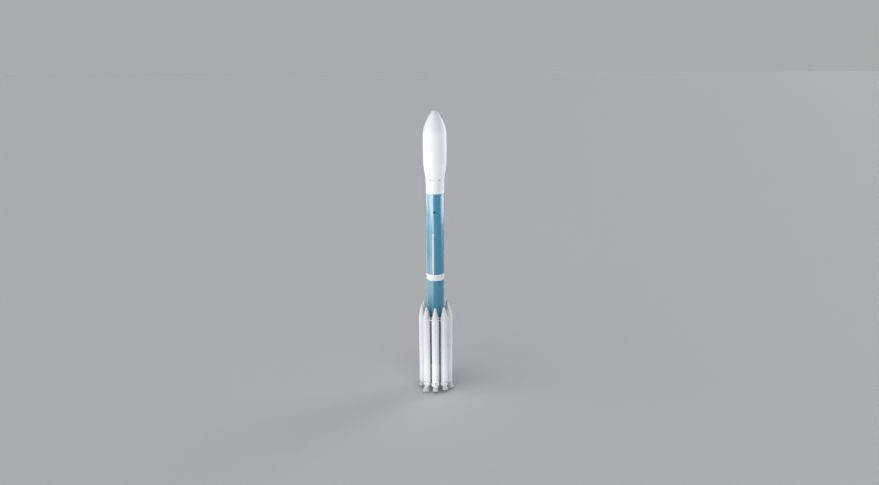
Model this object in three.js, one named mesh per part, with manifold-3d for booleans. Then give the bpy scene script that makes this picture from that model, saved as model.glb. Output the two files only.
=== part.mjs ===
// Two-stage space rocket with nine strap-on boosters, standing upright and ready to fly.
// Millimetres, +Z up. The origin is on the vehicle's axis, in the plane of its hold-down feet.
// Azimuths are in degrees round the axis, 0 towards -Y and 90 towards +X.

import * as THREE from "three";
import { mergeVertices } from "three/addons/utils/BufferGeometryUtils.js";
import Module from "manifold-3d";

const wasm = await Module();
wasm.setup();

// Driving dimensions of the core vehicle
const CORE_RADIUS = 1219;
const SKIRT_WALL = 45;
const FRAME_THICKNESS = 70;
const ENGINE_SECTION_TOP = 2550;
const LOWER_TANK_TOP = 15260;
const CENTRE_BODY_TOP = 16130;
const UPPER_TANK_TOP = 22110;
const INTERSTAGE_TOP = 27260;
const UPPER_SKIRT_TOP = 28950;

// Driving dimensions of the payload fairing
const FAIRING_RADIUS = 1524;
const FAIRING_WALL = 38;
const BOAT_TAIL_TOP = 31150;
const NOSE_BASE = 35000;
const TIP = 37900;
const NOSE_CAP_RADIUS = 400;
const NOSE_CAP_HEIGHT = 300;
const NOSE_OVERRUN = 50;
const HALF_SEAM = 3;
const ADAPTER_BASE_RADIUS = 1080;
const ADAPTER_TOP_RADIUS = 800;
const ADAPTER_RIM = 100;
const ADAPTER_TOP = 30150;

// Driving dimensions of a strap-on booster
const BOOSTER_RADIUS = 508;
const BOOSTER_CIRCLE = 1870;
const BOOSTER_COUNT = 9;
const BOOSTER_TIP = 11540;
const NOSE_CONE_BASE = 9860;
const NOSE_CONE_TOP = 11450;
const NOSE_CONE_CAP_RADIUS = 125;
const AFT_FLARE_TOP = -20;
const AFT_RIM_RADIUS = 545;
const AFT_RIM_TOP = -160;
const AFT_RIM_BOTTOM = -360;
const CANT_Z = 120;
const NOZZLE_CANT = 10;
const CLOSURE_TOP_DEPTH = 300;
const CLOSURE_SHOULDER_DEPTH = 500;
const CLOSURE_SHOULDER_RADIUS = 385;
const CLOSURE_RADIUS = 305;
const NOZZLE_TOP_DEPTH = 600;
const NOZZLE_NECK_DEPTH = 660;
const NOZZLE_NECK_RADIUS = 295;
const NOZZLE_OUTSIDE_CURVE = 1.15;
const NOZZLE_BORE_CURVE = 0.75;
const NOZZLE_FLANGE_BORE = 165;
const NOZZLE_WALL = 28;

// Booster nozzles, one row a kind: exit radius, exit depth below the cant point, throat radius
const NOZZLES = {
  ground_lit: { exit: 435, depth: 1215, throat: 105 },
  air_lit: { exit: 530, depth: 1555, throat: 105 },
};

// Boosters whose longer nozzles light in the air, by number round the vehicle
const AIR_LIT = [3, 6, 9];

// Driving dimensions of the rings and fittings that carry the boosters
const RING_DEPTH = 43;
const FORWARD_RING = { bottom: 9610, top: 9860 };
const AFT_RING = { bottom: 190, top: 370 };
const LUG_WIDTH = 190;
const FORWARD_LINK = { bottom: 9540, top: 9730 };
const AFT_LINK = { bottom: -350, top: -180 };
const LINK_DEPTH = 130;
const HOLDDOWN_RING_TOP = 140;
const FOOT_WIDTH = 260;
const FOOT_REACH = 1400;
const FOOT_AZIMUTHS = [20, 140, 260];

// Driving dimensions of the cable tunnels
const TUNNEL_AZIMUTHS = [-11.25, 168.75];
const TUNNEL_WIDTH = 150;
const TUNNEL_DEPTH = 95;
const TUNNEL_BOTTOM = 700;
const TUNNEL_TOP = 21900;

// Driving dimensions of the main engine
const GIMBAL_Z = 2300;
const PIN_RADIUS = 40;
const PIN_LENGTH = 420;
const CROSS_HUB = 150;
const EAR_INNER = 130;
const EAR_OUTER = 200;
const EAR_WIDTH = 150;
const CHAMBER_TOP = 2120;
const CHAMBER_RADIUS = 290;
const CHAMBER_DOME = 120;
const CHAMBER_DOME_RADIUS = 220;
const CHAMBER_CONE = 220;
const THROAT_Z = 1250;
const THROAT_RADIUS = 225;
const BELL_EXIT_Z = -1100;
const BELL_EXIT_RADIUS = 725;
const BELL_WALL = 32;
const BELL_CURVE = 0.6;
const PUMP_OFFSET = 560;
const PUMP_ARM_WIDTH = 120;
const DUCT_RADIUS = 85;

// Pump and gas generator: radius and height at each step of the housing, bottom first
const PUMP_PROFILE = [[0, 1330], [150, 1330], [150, 1480], [210, 1520], [210, 1760], [130, 1800],
  [130, 2000], [0, 2000]];

// Arms from the pump to the chamber: bottom and top
const PUMP_ARMS = [[1560, 1650], [1860, 1950]];

// Exhaust duct: height and distance from the engine's axis at each bend, top first
const DUCT_ROUTE = [[1620, 260], [1600, 430], [1420, 560], [900, 640], [100, 735], [-900, 850]];

// Driving dimensions of the two vernier engines
const VERNIER_CIRCLE = 1000;
const VERNIER_Z = 400;
const VERNIER_EXIT_Z = -150;
const VERNIER_EXIT_RADIUS = 105;
const VERNIER_WALL = 10;
const VERNIER_THROAT_Z = 70;
const VERNIER_THROAT_RADIUS = 42;
const VERNIER_CHAMBER_RADIUS = 66;
const VERNIER_CHAMBER_Z = [150, 330];
const VERNIER_NECK_RADIUS = 30;
const VERNIER_HEAD_RADIUS = 38;
const VERNIER_HEAD_HALF = 69;
const VERNIER_PIN_RADIUS = 20;
const VERNIER_EAR_INNER = 75;
const VERNIER_EAR_OUTER = 100;
const VERNIER_EAR_HALF = 40;
const VERNIER_PLATE_HALF = 70;
const VERNIER_PLATE_Z = [445, 505];

// Running and seating clearances
const SEAT = 0.3;
const PIN_CLEARANCE = 1;

// Facets round each kind of turned piece, and along the bent duct
const CORE_SIDES = 48;
const BOOSTER_SIDES = 20;
const BELL_SIDES = 32;
const SMALL_SIDES = 12;
const DUCT_STEPS = 14;

const PAINT = {
  white: { color: 0xf2f3f5, roughness: 0.45, metalness: 0.0 },
  teal: { color: 0x3f8c9c, roughness: 0.35, metalness: 0.0 },
  grey: { color: 0xb9bec2, roughness: 0.5, metalness: 0.1 },
  steel: { color: 0x8b8f94, roughness: 0.4, metalness: 0.8 },
  insulation: { color: 0xe4e2dc, roughness: 0.8, metalness: 0.0 },
};

const rocket = new THREE.Group();

function radians(degrees) {
  return (degrees * Math.PI) / 180;
}

// A closed outline of [radius, z] points, bottom first and outside going up, turned about Z
function turned(outline, sides) {
  const points = outline.map(([radius, z]) => new THREE.Vector2(radius, z));
  return new THREE.LatheGeometry(points, sides).rotateX(Math.PI / 2);
}

// A box between two corners
function block([x0, y0, z0], [x1, y1, z1]) {
  const geometry = new THREE.BoxGeometry(x1 - x0, y1 - y0, z1 - z0);
  return geometry.translate((x0 + x1) / 2, (y0 + y1) / 2, (z0 + z1) / 2);
}

// A round bar along X or Y, centred on the origin
function bar(radius, length, axis) {
  const geometry = new THREE.CylinderGeometry(radius, radius, length, SMALL_SIDES);
  return axis === "x" ? geometry.rotateZ(Math.PI / 2) : geometry;
}

function solid(geometry) {
  const bare = new THREE.BufferGeometry();
  bare.setAttribute("position", geometry.getAttribute("position").clone());
  const count = bare.getAttribute("position").count;
  bare.setIndex(geometry.index ? Array.from(geometry.index.array) : [...Array(count).keys()]);
  const merged = mergeVertices(bare, 0.001);
  const corners = Array.from(merged.index.array);
  const kept = [];
  for (let i = 0; i < corners.length; i += 3) {
    const [a, b, c] = corners.slice(i, i + 3);
    if (a !== b && b !== c && c !== a) kept.push(a, b, c);
  }
  return new wasm.Manifold(new wasm.Mesh({
    numProp: 3,
    vertProperties: new Float32Array(merged.getAttribute("position").array),
    triVerts: new Uint32Array(kept),
  }));
}

function shape(manifold) {
  const mesh = manifold.getMesh();
  const geometry = new THREE.BufferGeometry();
  geometry.setAttribute("position", new THREE.Float32BufferAttribute(mesh.vertProperties, 3));
  geometry.setIndex(Array.from(mesh.triVerts));
  geometry.computeVertexNormals();
  return geometry;
}

function place(name, geometry, paint, parent = rocket) {
  const mesh = new THREE.Mesh(geometry, new THREE.MeshStandardMaterial(PAINT[paint]));
  mesh.name = name;
  parent.add(mesh);
  return mesh;
}

// A group turned about Z so that its local +X points outward at an azimuth
function outward(azimuth, radius = 0) {
  const group = new THREE.Group();
  const angle = radians(azimuth - 90);
  group.position.set(radius * Math.cos(angle), radius * Math.sin(angle), 0);
  group.rotation.z = angle;
  rocket.add(group);
  return group;
}

// The same turn for a geometry that becomes part of a larger piece
function turnedOutward(geometry, azimuth) {
  return geometry.rotateZ(radians(azimuth - 90));
}

function boosterAzimuth(number) {
  return ((number - 1) * 360) / BOOSTER_COUNT;
}

// Tanks and skirts of the core vehicle, from the engine section up: name, top, paint
const SECTIONS = [
  ["lower_tank", LOWER_TANK_TOP, "teal"],
  ["centre_body", CENTRE_BODY_TOP, "white"],
  ["upper_tank", UPPER_TANK_TOP, "teal"],
  ["interstage", INTERSTAGE_TOP, "teal"],
  ["upper_skirt", UPPER_SKIRT_TOP, "white"],
];

function buildSections() {
  let bottom = ENGINE_SECTION_TOP;
  for (const [name, top, paint] of SECTIONS) {
    const outline = [[0, bottom + SEAT], [CORE_RADIUS, bottom + SEAT], [CORE_RADIUS, top], [0, top]];
    place(name, turned(outline, CORE_SIDES), paint);
    bottom = top;
  }
}

// The engine section is an open skirt, closed above by the frame that takes the engine's thrust
function buildEngineSection() {
  const inner = CORE_RADIUS - SKIRT_WALL;
  const wall = [[inner, 0], [CORE_RADIUS, 0], [CORE_RADIUS, ENGINE_SECTION_TOP],
    [inner, ENGINE_SECTION_TOP], [inner, 0]];
  place("engine_section", turned(wall, CORE_SIDES), "grey");

  const frameBottom = ENGINE_SECTION_TOP - FRAME_THICKNESS;
  const plate = [[0, frameBottom], [inner - SEAT, frameBottom],
    [inner - SEAT, ENGINE_SECTION_TOP], [0, ENGINE_SECTION_TOP]];
  let frame = solid(turned(plate, CORE_SIDES));
  for (const side of [-1, 1]) {
    const ends = [side * EAR_INNER, side * EAR_OUTER];
    const ear = block([Math.min(...ends), -EAR_WIDTH / 2, GIMBAL_Z - EAR_WIDTH / 2],
      [Math.max(...ends), EAR_WIDTH / 2, frameBottom + 1]);
    frame = frame.add(solid(ear));
  }
  const bore = bar(PIN_RADIUS + PIN_CLEARANCE, 2 * PIN_LENGTH, "x").translate(0, 0, GIMBAL_Z);
  place("thrust_frame", shape(frame.subtract(solid(bore))), "steel");
}

// Hold-down ring round the skirt's foot, with the feet that the vehicle stands on
function buildHolddownRing() {
  const inner = CORE_RADIUS + SEAT;
  const outer = CORE_RADIUS + RING_DEPTH;
  const ring = [[inner, 0], [outer, 0], [outer, HOLDDOWN_RING_TOP], [inner, HOLDDOWN_RING_TOP], [inner, 0]];
  let body = solid(turned(ring, CORE_SIDES));
  for (const azimuth of FOOT_AZIMUTHS) {
    const foot = block([outer - RING_DEPTH / 2, -FOOT_WIDTH / 2, 0],
      [FOOT_REACH, FOOT_WIDTH / 2, HOLDDOWN_RING_TOP]);
    body = body.add(solid(turnedOutward(foot, azimuth)));
  }
  place("holddown_ring", shape(body), "steel");
}

// A ring round the core with a lug to each booster
function attachRing(name, { bottom, top }) {
  const inner = CORE_RADIUS + SEAT;
  const outer = CORE_RADIUS + RING_DEPTH;
  const ring = [[inner, bottom], [outer, bottom], [outer, top], [inner, top], [inner, bottom]];
  let body = solid(turned(ring, CORE_SIDES));
  const root = outer - RING_DEPTH / 2;
  const lugBottom = bottom + (top - bottom) / 4;
  for (let number = 1; number <= BOOSTER_COUNT; number += 1) {
    const lug = block([root, -LUG_WIDTH / 2, lugBottom],
      [BOOSTER_CIRCLE - BOOSTER_RADIUS / 2, LUG_WIDTH / 2, top]);
    body = body.add(solid(turnedOutward(lug, boosterAzimuth(number))));
  }
  const reach = BOOSTER_RADIUS + SEAT;
  const room = [[0, bottom - 1], [reach, bottom - 1], [reach, top + 1], [0, top + 1]];
  for (let number = 1; number <= BOOSTER_COUNT; number += 1) {
    const booster = turned(room, BOOSTER_SIDES).translate(BOOSTER_CIRCLE, 0, 0);
    body = body.subtract(solid(turnedOutward(booster, boosterAzimuth(number))));
  }
  place(name, shape(body), "white");
}

// Cable tunnels down the core's sides, each on one of its flats and bridging the rings
function buildTunnels() {
  const foot = CORE_RADIUS * Math.cos(Math.PI / CORE_SIDES) + SEAT;
  const over = CORE_RADIUS + RING_DEPTH + SEAT;
  const { bottom, top } = FORWARD_RING;
  TUNNEL_AZIMUTHS.forEach((azimuth, index) => {
    const duct = block([foot, -TUNNEL_WIDTH / 2, TUNNEL_BOTTOM],
      [foot + TUNNEL_DEPTH, TUNNEL_WIDTH / 2, TUNNEL_TOP]);
    const notch = block([foot - 1, -TUNNEL_WIDTH, bottom - SEAT], [over, TUNNEL_WIDTH, top + SEAT]);
    const group = outward(azimuth);
    place(`cable_tunnel_${index + 1}`, shape(solid(duct).subtract(solid(notch))), "teal", group);
  });
}

// One booster: nose cone with a round cap, motor case and canted nozzle
function noseCone() {
  const outline = [[0, NOSE_CONE_BASE + SEAT], [BOOSTER_RADIUS, NOSE_CONE_BASE + SEAT]];
  for (const slope of [0, 30, 60]) {
    outline.push([NOSE_CONE_CAP_RADIUS * Math.cos(radians(slope)),
      NOSE_CONE_TOP + (BOOSTER_TIP - NOSE_CONE_TOP) * Math.sin(radians(slope))]);
  }
  outline.push([0, BOOSTER_TIP]);
  return turned(outline, BOOSTER_SIDES);
}

// The case has half a link to each of its neighbours, and below its rim a closure canted like the nozzle
function motorCase() {
  const outline = [[0, AFT_RIM_BOTTOM], [AFT_RIM_RADIUS, AFT_RIM_BOTTOM], [AFT_RIM_RADIUS, AFT_RIM_TOP],
    [BOOSTER_RADIUS, AFT_FLARE_TOP], [BOOSTER_RADIUS, NOSE_CONE_BASE], [0, NOSE_CONE_BASE]];
  let body = solid(turned(outline, BOOSTER_SIDES));
  const seat = -NOZZLE_TOP_DEPTH + SEAT;
  const below = [[0, seat], [CLOSURE_RADIUS, seat], [CLOSURE_SHOULDER_RADIUS, -CLOSURE_SHOULDER_DEPTH],
    [CLOSURE_SHOULDER_RADIUS, -CLOSURE_TOP_DEPTH], [0, -CLOSURE_TOP_DEPTH]];
  const closure = turned(below, BOOSTER_SIDES).rotateY(radians(-NOZZLE_CANT)).translate(0, 0, CANT_Z);
  body = body.add(solid(closure));
  const halfway = BOOSTER_CIRCLE * Math.sin(Math.PI / BOOSTER_COUNT) - SEAT / 2;
  const bearing = 90 + 180 / BOOSTER_COUNT;
  for (const { bottom, top } of [FORWARD_LINK, AFT_LINK]) {
    for (const side of [-1, 1]) {
      const link = block([BOOSTER_RADIUS / 2, -LINK_DEPTH / 2, bottom], [halfway, LINK_DEPTH / 2, top]);
      body = body.add(solid(link.rotateZ(radians(side * bearing))));
    }
  }
  return shape(body);
}

// The nozzle hangs from its cant point, its own axis down -Z
function boosterNozzle({ exit, depth, throat }) {
  const outside = [];
  const inside = [];
  for (const share of [0, 0.45, 1]) {
    const z = -(NOZZLE_NECK_DEPTH + (depth - NOZZLE_NECK_DEPTH) * share);
    const swell = share ** NOZZLE_OUTSIDE_CURVE;
    const opening = share ** NOZZLE_BORE_CURVE;
    outside.unshift([NOZZLE_NECK_RADIUS + (exit - NOZZLE_NECK_RADIUS) * swell, z]);
    inside.push([throat + (exit - NOZZLE_WALL - throat) * opening, z]);
  }
  const top = [[CLOSURE_RADIUS, -NOZZLE_TOP_DEPTH], [NOZZLE_FLANGE_BORE, -NOZZLE_TOP_DEPTH]];
  return turned([...outside, ...top, ...inside, outside[0]], BOOSTER_SIDES);
}

function buildBoosters() {
  for (let number = 1; number <= BOOSTER_COUNT; number += 1) {
    const group = outward(boosterAzimuth(number), BOOSTER_CIRCLE);
    place(`booster_nose_${number}`, noseCone(), "white", group);
    place(`booster_case_${number}`, motorCase(), "white", group);
    const canted = new THREE.Group();
    canted.position.z = CANT_Z;
    canted.rotation.y = radians(-NOZZLE_CANT);
    group.add(canted);
    const kind = AIR_LIT.includes(number) ? NOZZLES.air_lit : NOZZLES.ground_lit;
    place(`booster_nozzle_${number}`, boosterNozzle(kind), "insulation", canted);
  }
}

// Payload fairing: a nose curve of least drag with a round cap, a cylinder and a boat tail
function noseRadius(below) {
  if (below <= NOSE_CAP_HEIGHT) {
    return Math.sqrt(2 * NOSE_CAP_RADIUS * below - below * below);
  }
  const length = TIP - NOSE_BASE + NOSE_OVERRUN;
  const angle = Math.acos(1 - (2 * (below + NOSE_OVERRUN)) / length);
  return FAIRING_RADIUS * Math.sqrt((angle - Math.sin(2 * angle) / 2) / Math.PI);
}

const NOSE_STATIONS = [60, 300, 700, 1200, 1800, 2400, 2900];

function buildFairing() {
  const base = UPPER_SKIRT_TOP + SEAT;
  const outer = [[CORE_RADIUS, base], [FAIRING_RADIUS, BOAT_TAIL_TOP]];
  const inner = [[CORE_RADIUS - FAIRING_WALL, base], [FAIRING_RADIUS - FAIRING_WALL, BOAT_TAIL_TOP]];
  for (const below of [...NOSE_STATIONS].reverse()) {
    outer.push([noseRadius(below), TIP - below]);
    if (below >= NOSE_CAP_HEIGHT) {
      inner.push([noseRadius(below) - FAIRING_WALL, TIP - below - FAIRING_WALL / 3]);
    }
  }
  outer.push([0, TIP]);
  inner.push([0, TIP - NOSE_CAP_HEIGHT / 2]);
  const shell = solid(turned([...outer, ...inner.reverse(), outer[0]], CORE_SIDES));
  const right = block([HALF_SEAM, -2 * FAIRING_RADIUS, 0], [2 * FAIRING_RADIUS, 2 * FAIRING_RADIUS, 2 * TIP]);
  const left = block([-2 * FAIRING_RADIUS, -2 * FAIRING_RADIUS, 0], [-HALF_SEAM, 2 * FAIRING_RADIUS, 2 * TIP]);
  place("fairing_half_right", shape(shell.intersect(solid(right))), "white");
  place("fairing_half_left", shape(shell.intersect(solid(left))), "white");
}

// The cone inside the fairing that the payload is clamped to
function buildPayloadAdapter() {
  const outline = [[0, UPPER_SKIRT_TOP + SEAT], [ADAPTER_BASE_RADIUS, UPPER_SKIRT_TOP + SEAT],
    [ADAPTER_BASE_RADIUS, UPPER_SKIRT_TOP + ADAPTER_RIM], [ADAPTER_TOP_RADIUS, ADAPTER_TOP - ADAPTER_RIM],
    [ADAPTER_TOP_RADIUS, ADAPTER_TOP], [0, ADAPTER_TOP]];
  place("payload_adapter", turned(outline, BELL_SIDES), "grey");
}

// Main engine, hung below the thrust frame on a cross with two pins
function bellRadius(z) {
  const share = (THROAT_Z - z) / (THROAT_Z - BELL_EXIT_Z);
  return THROAT_RADIUS + (BELL_EXIT_RADIUS - THROAT_RADIUS) * share ** BELL_CURVE;
}

function buildGimbalCross() {
  const half = CROSS_HUB / 2;
  let cross = solid(block([-half, -half, -half], [half, half, half]));
  for (const axis of ["x", "y"]) {
    cross = cross.add(solid(bar(PIN_RADIUS, PIN_LENGTH, axis)));
  }
  place("gimbal_cross", shape(cross), "steel").position.z = GIMBAL_Z;
}

function buildThrustChamber() {
  const outline = [[0, THROAT_Z + SEAT], [THROAT_RADIUS, THROAT_Z + SEAT],
    [CHAMBER_RADIUS, THROAT_Z + CHAMBER_CONE], [CHAMBER_RADIUS, CHAMBER_TOP - CHAMBER_DOME],
    [CHAMBER_DOME_RADIUS, CHAMBER_TOP], [0, CHAMBER_TOP]];
  let chamber = solid(turned(outline, BELL_SIDES));
  for (const side of [-1, 1]) {
    const ends = [side * EAR_INNER, side * EAR_OUTER];
    const ear = block([-EAR_WIDTH / 2, Math.min(...ends), CHAMBER_TOP - CHAMBER_DOME / 2],
      [EAR_WIDTH / 2, Math.max(...ends), GIMBAL_Z + EAR_WIDTH / 2]);
    chamber = chamber.add(solid(ear));
  }
  const bore = bar(PIN_RADIUS + PIN_CLEARANCE, 2 * PIN_LENGTH, "y").translate(0, 0, GIMBAL_Z);
  place("thrust_chamber", shape(chamber.subtract(solid(bore))), "steel");
}

function buildBell() {
  const outside = [];
  const inside = [];
  for (const share of [0, 0.08, 0.25, 0.55, 1]) {
    const z = THROAT_Z + (BELL_EXIT_Z - THROAT_Z) * share;
    outside.unshift([bellRadius(z), z]);
    inside.push([bellRadius(z) - BELL_WALL, z]);
  }
  place("engine_bell", turned([...outside, ...inside, outside[0]], BELL_SIDES), "steel");
}

// The room that the chamber takes, cut from what is fixed to its side
function chamberRoom() {
  const reach = CHAMBER_RADIUS + SEAT;
  return solid(turned([[0, THROAT_Z], [reach, THROAT_Z], [reach, CHAMBER_TOP], [0, CHAMBER_TOP]], BELL_SIDES));
}

// Pump and gas generator beside the chamber
function buildTurbopump() {
  let pump = solid(turned(PUMP_PROFILE, SMALL_SIDES).translate(0, -PUMP_OFFSET, 0));
  for (const [bottom, top] of PUMP_ARMS) {
    const arm = block([-PUMP_ARM_WIDTH / 2, -PUMP_OFFSET, bottom],
      [PUMP_ARM_WIDTH / 2, -CHAMBER_RADIUS / 2, top]);
    pump = pump.add(solid(arm));
  }
  place("turbopump", shape(pump.subtract(chamberRoom())), "steel");
}

// The duct that carries the pump's exhaust down beside the bell
function buildExhaustDuct() {
  const points = DUCT_ROUTE.map(([z, distance]) => new THREE.Vector3(0, distance, z));
  const route = new THREE.CatmullRomCurve3(points);
  const section = new THREE.Shape();
  section.absarc(0, 0, DUCT_RADIUS, 0, 2 * Math.PI);
  const curveSegments = SMALL_SIDES / 2;
  const pipe = new THREE.ExtrudeGeometry(section, { steps: DUCT_STEPS, extrudePath: route, curveSegments });
  place("exhaust_duct", shape(solid(pipe).subtract(chamberRoom())), "steel");
}

// Vernier engines on the skirt's left and right, each swinging on a pin along its radius
function buildVerniers() {
  const wall = CORE_RADIUS - SKIRT_WALL - VERNIER_PLATE_HALF * Math.tan(Math.PI / CORE_SIDES);
  const reach = wall - SEAT - VERNIER_CIRCLE;
  const [plateBottom, plateTop] = VERNIER_PLATE_Z;
  for (const [side, azimuth] of [["left", -90], ["right", 90]]) {
    const group = outward(azimuth, VERNIER_CIRCLE);
    let mount = solid(block([-VERNIER_EAR_OUTER, -VERNIER_PLATE_HALF, plateBottom],
      [reach, VERNIER_PLATE_HALF, plateTop]));
    for (const sign of [-1, 1]) {
      const ends = [sign * VERNIER_EAR_INNER, sign * VERNIER_EAR_OUTER];
      const ear = block([Math.min(...ends), -VERNIER_EAR_HALF, VERNIER_Z - VERNIER_EAR_HALF],
        [Math.max(...ends), VERNIER_EAR_HALF, plateBottom + 1]);
      mount = mount.add(solid(ear));
    }
    const bore = bar(VERNIER_PIN_RADIUS + PIN_CLEARANCE, 3 * VERNIER_EAR_OUTER, "x");
    mount = mount.subtract(solid(bore.translate(0, 0, VERNIER_Z)));
    place(`vernier_mount_${side}`, shape(mount), "steel", group);

    const head = bar(VERNIER_HEAD_RADIUS, 2 * VERNIER_HEAD_HALF, "x").translate(0, 0, VERNIER_Z);
    const pin = bar(VERNIER_PIN_RADIUS, 2 * VERNIER_EAR_OUTER, "x").translate(0, 0, VERNIER_Z);
    const engine = solid(vernierChamber()).add(solid(head)).add(solid(pin));
    place(`vernier_engine_${side}`, shape(engine), "steel", group);
  }
}

// A vernier's combustion chamber and small bell, open below
function vernierChamber() {
  const halfwayZ = (VERNIER_THROAT_Z + VERNIER_EXIT_Z) / 2;
  const halfway = (VERNIER_THROAT_RADIUS + VERNIER_EXIT_RADIUS) / 2 + VERNIER_WALL / 2;
  const [chamberBottom, chamberTop] = VERNIER_CHAMBER_Z;
  const outline = [[VERNIER_EXIT_RADIUS - VERNIER_WALL, VERNIER_EXIT_Z], [VERNIER_EXIT_RADIUS, VERNIER_EXIT_Z],
    [halfway, halfwayZ], [VERNIER_THROAT_RADIUS, VERNIER_THROAT_Z],
    [VERNIER_CHAMBER_RADIUS, chamberBottom], [VERNIER_CHAMBER_RADIUS, chamberTop],
    [VERNIER_NECK_RADIUS, chamberTop + VERNIER_NECK_RADIUS], [VERNIER_NECK_RADIUS, VERNIER_Z], [0, VERNIER_Z],
    [0, VERNIER_THROAT_Z + VERNIER_WALL], [VERNIER_THROAT_RADIUS - VERNIER_WALL, VERNIER_THROAT_Z],
    [halfway - VERNIER_WALL, halfwayZ], [VERNIER_EXIT_RADIUS - VERNIER_WALL, VERNIER_EXIT_Z]];
  return turned(outline, SMALL_SIDES);
}

buildSections();
buildEngineSection();
buildHolddownRing();
attachRing("forward_attach_ring", FORWARD_RING);
attachRing("aft_attach_ring", AFT_RING);
buildTunnels();
buildBoosters();
buildFairing();
buildPayloadAdapter();
buildGimbalCross();
buildThrustChamber();
buildBell();
buildTurbopump();
buildExhaustDuct();
buildVerniers();

export default rocket;
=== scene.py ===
import math

import bpy
from mathutils import Matrix, Vector


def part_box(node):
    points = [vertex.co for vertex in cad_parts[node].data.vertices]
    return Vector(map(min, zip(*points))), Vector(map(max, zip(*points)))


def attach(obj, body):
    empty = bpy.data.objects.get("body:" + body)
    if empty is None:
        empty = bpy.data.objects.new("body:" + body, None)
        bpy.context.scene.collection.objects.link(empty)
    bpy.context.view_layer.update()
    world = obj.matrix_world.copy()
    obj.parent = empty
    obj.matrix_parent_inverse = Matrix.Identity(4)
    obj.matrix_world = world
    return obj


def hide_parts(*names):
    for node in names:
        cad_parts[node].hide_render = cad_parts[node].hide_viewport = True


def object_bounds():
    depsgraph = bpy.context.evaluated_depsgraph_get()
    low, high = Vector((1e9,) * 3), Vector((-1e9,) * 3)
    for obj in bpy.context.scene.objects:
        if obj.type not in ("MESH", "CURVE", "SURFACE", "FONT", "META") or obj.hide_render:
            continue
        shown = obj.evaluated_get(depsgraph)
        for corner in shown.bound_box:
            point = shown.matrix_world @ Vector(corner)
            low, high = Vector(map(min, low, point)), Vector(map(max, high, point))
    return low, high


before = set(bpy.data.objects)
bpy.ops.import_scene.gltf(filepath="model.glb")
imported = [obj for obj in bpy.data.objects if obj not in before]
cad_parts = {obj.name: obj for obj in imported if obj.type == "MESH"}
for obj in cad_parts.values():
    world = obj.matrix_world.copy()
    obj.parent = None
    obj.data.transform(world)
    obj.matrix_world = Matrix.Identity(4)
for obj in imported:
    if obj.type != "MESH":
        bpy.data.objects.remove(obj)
cad_box = [list(corner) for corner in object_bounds()]

# Camera
# A view from the air, 77 m in front of the rocket and higher than its tip, through a wide lens
# tilted 17 degrees down. It stands a little to the right, so the rocket is left of the middle,
# and is turned a little round the rocket from its front booster.
CAMERA_PLACE = (0.576, -77.1, 44.19)
CAMERA_TURN = 1.5
CAMERA_DIP = 17.18
CAMERA_ROLL = -0.21
CAMERA_LENS = 24.47
CAMERA_SENSOR = 36
CAMERA_REACH = 5000


def deselect():
    """Clears the selection, because an operator acts on all that is selected."""
    bpy.ops.object.select_all(action="DESELECT")


deselect()
bpy.ops.object.camera_add()
camera = bpy.context.object
camera.name = "camera"
camera_stand = Matrix.Rotation(math.radians(CAMERA_TURN), 4, "Z") @ Matrix.Translation(CAMERA_PLACE)
camera_tilt = Matrix.Rotation(math.radians(90 - CAMERA_DIP), 4, "X")
camera.matrix_world = camera_stand @ camera_tilt @ Matrix.Rotation(math.radians(CAMERA_ROLL), 4, "Z")
camera.data.sensor_width = CAMERA_SENSOR
camera.data.lens = CAMERA_LENS
camera.data.clip_end = CAMERA_REACH
bpy.context.scene.camera = camera

# Floor and light
# A plain pale floor just under the lowest nozzle, before a backdrop of its own tone. Soft light
# comes from the upper left, the front and low on the right, and fields of lamps on the floor
# light the upright skins and draw the streaks in the gloss.
FLOOR_GAP = 0.005
FLOOR_SIZE = 4000
FLOOR_COLOUR = (0.74, 0.735, 0.73, 1)
FLOOR_ROUGHNESS = 0.9
SKY_COLOUR = (0.62, 0.66, 0.72, 1)
SKY_STRENGTH = 0.3
BACKDROP_COLOUR = (0.405, 0.41, 0.415, 1)
LAMP_HEIGHT = 0.3
WHITE_LIGHT = (1, 1, 1)
WARM_LIGHT = (1.0, 0.94, 0.88)
COOL_LIGHT = (0.92, 0.95, 1.0)
COLD_LIGHT = (0.88, 0.94, 1.0)

bpy.context.scene.view_settings.view_transform = "Standard"
floor_height = cad_box[0][2] - FLOOR_GAP


def added(tree, kind, inputs=None, **settings):
    """A node of a shader tree, its inputs fed by numbers, colours or other nodes' outputs."""
    made = tree.nodes.new(kind)
    for setting, choice in settings.items():
        setattr(made, setting, choice)
    for socket, term in (inputs or {}).items():
        if isinstance(term, bpy.types.NodeSocket):
            tree.links.new(term, made.inputs[socket])
        else:
            made.inputs[socket].default_value = term
    return made


deselect()
bpy.ops.mesh.primitive_grid_add(x_subdivisions=4, y_subdivisions=4, size=FLOOR_SIZE,
                                location=(0, 0, floor_height))
floor = bpy.context.object
floor.name = "floor"
floor_finish = bpy.data.materials.new("floor")
floor_finish.use_nodes = True
floor_shader = floor_finish.node_tree.nodes["Principled BSDF"]
floor_shader.inputs["Base Color"].default_value = FLOOR_COLOUR
floor_shader.inputs["Roughness"].default_value = FLOOR_ROUGHNESS
floor.data.materials.append(floor_finish)

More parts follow.
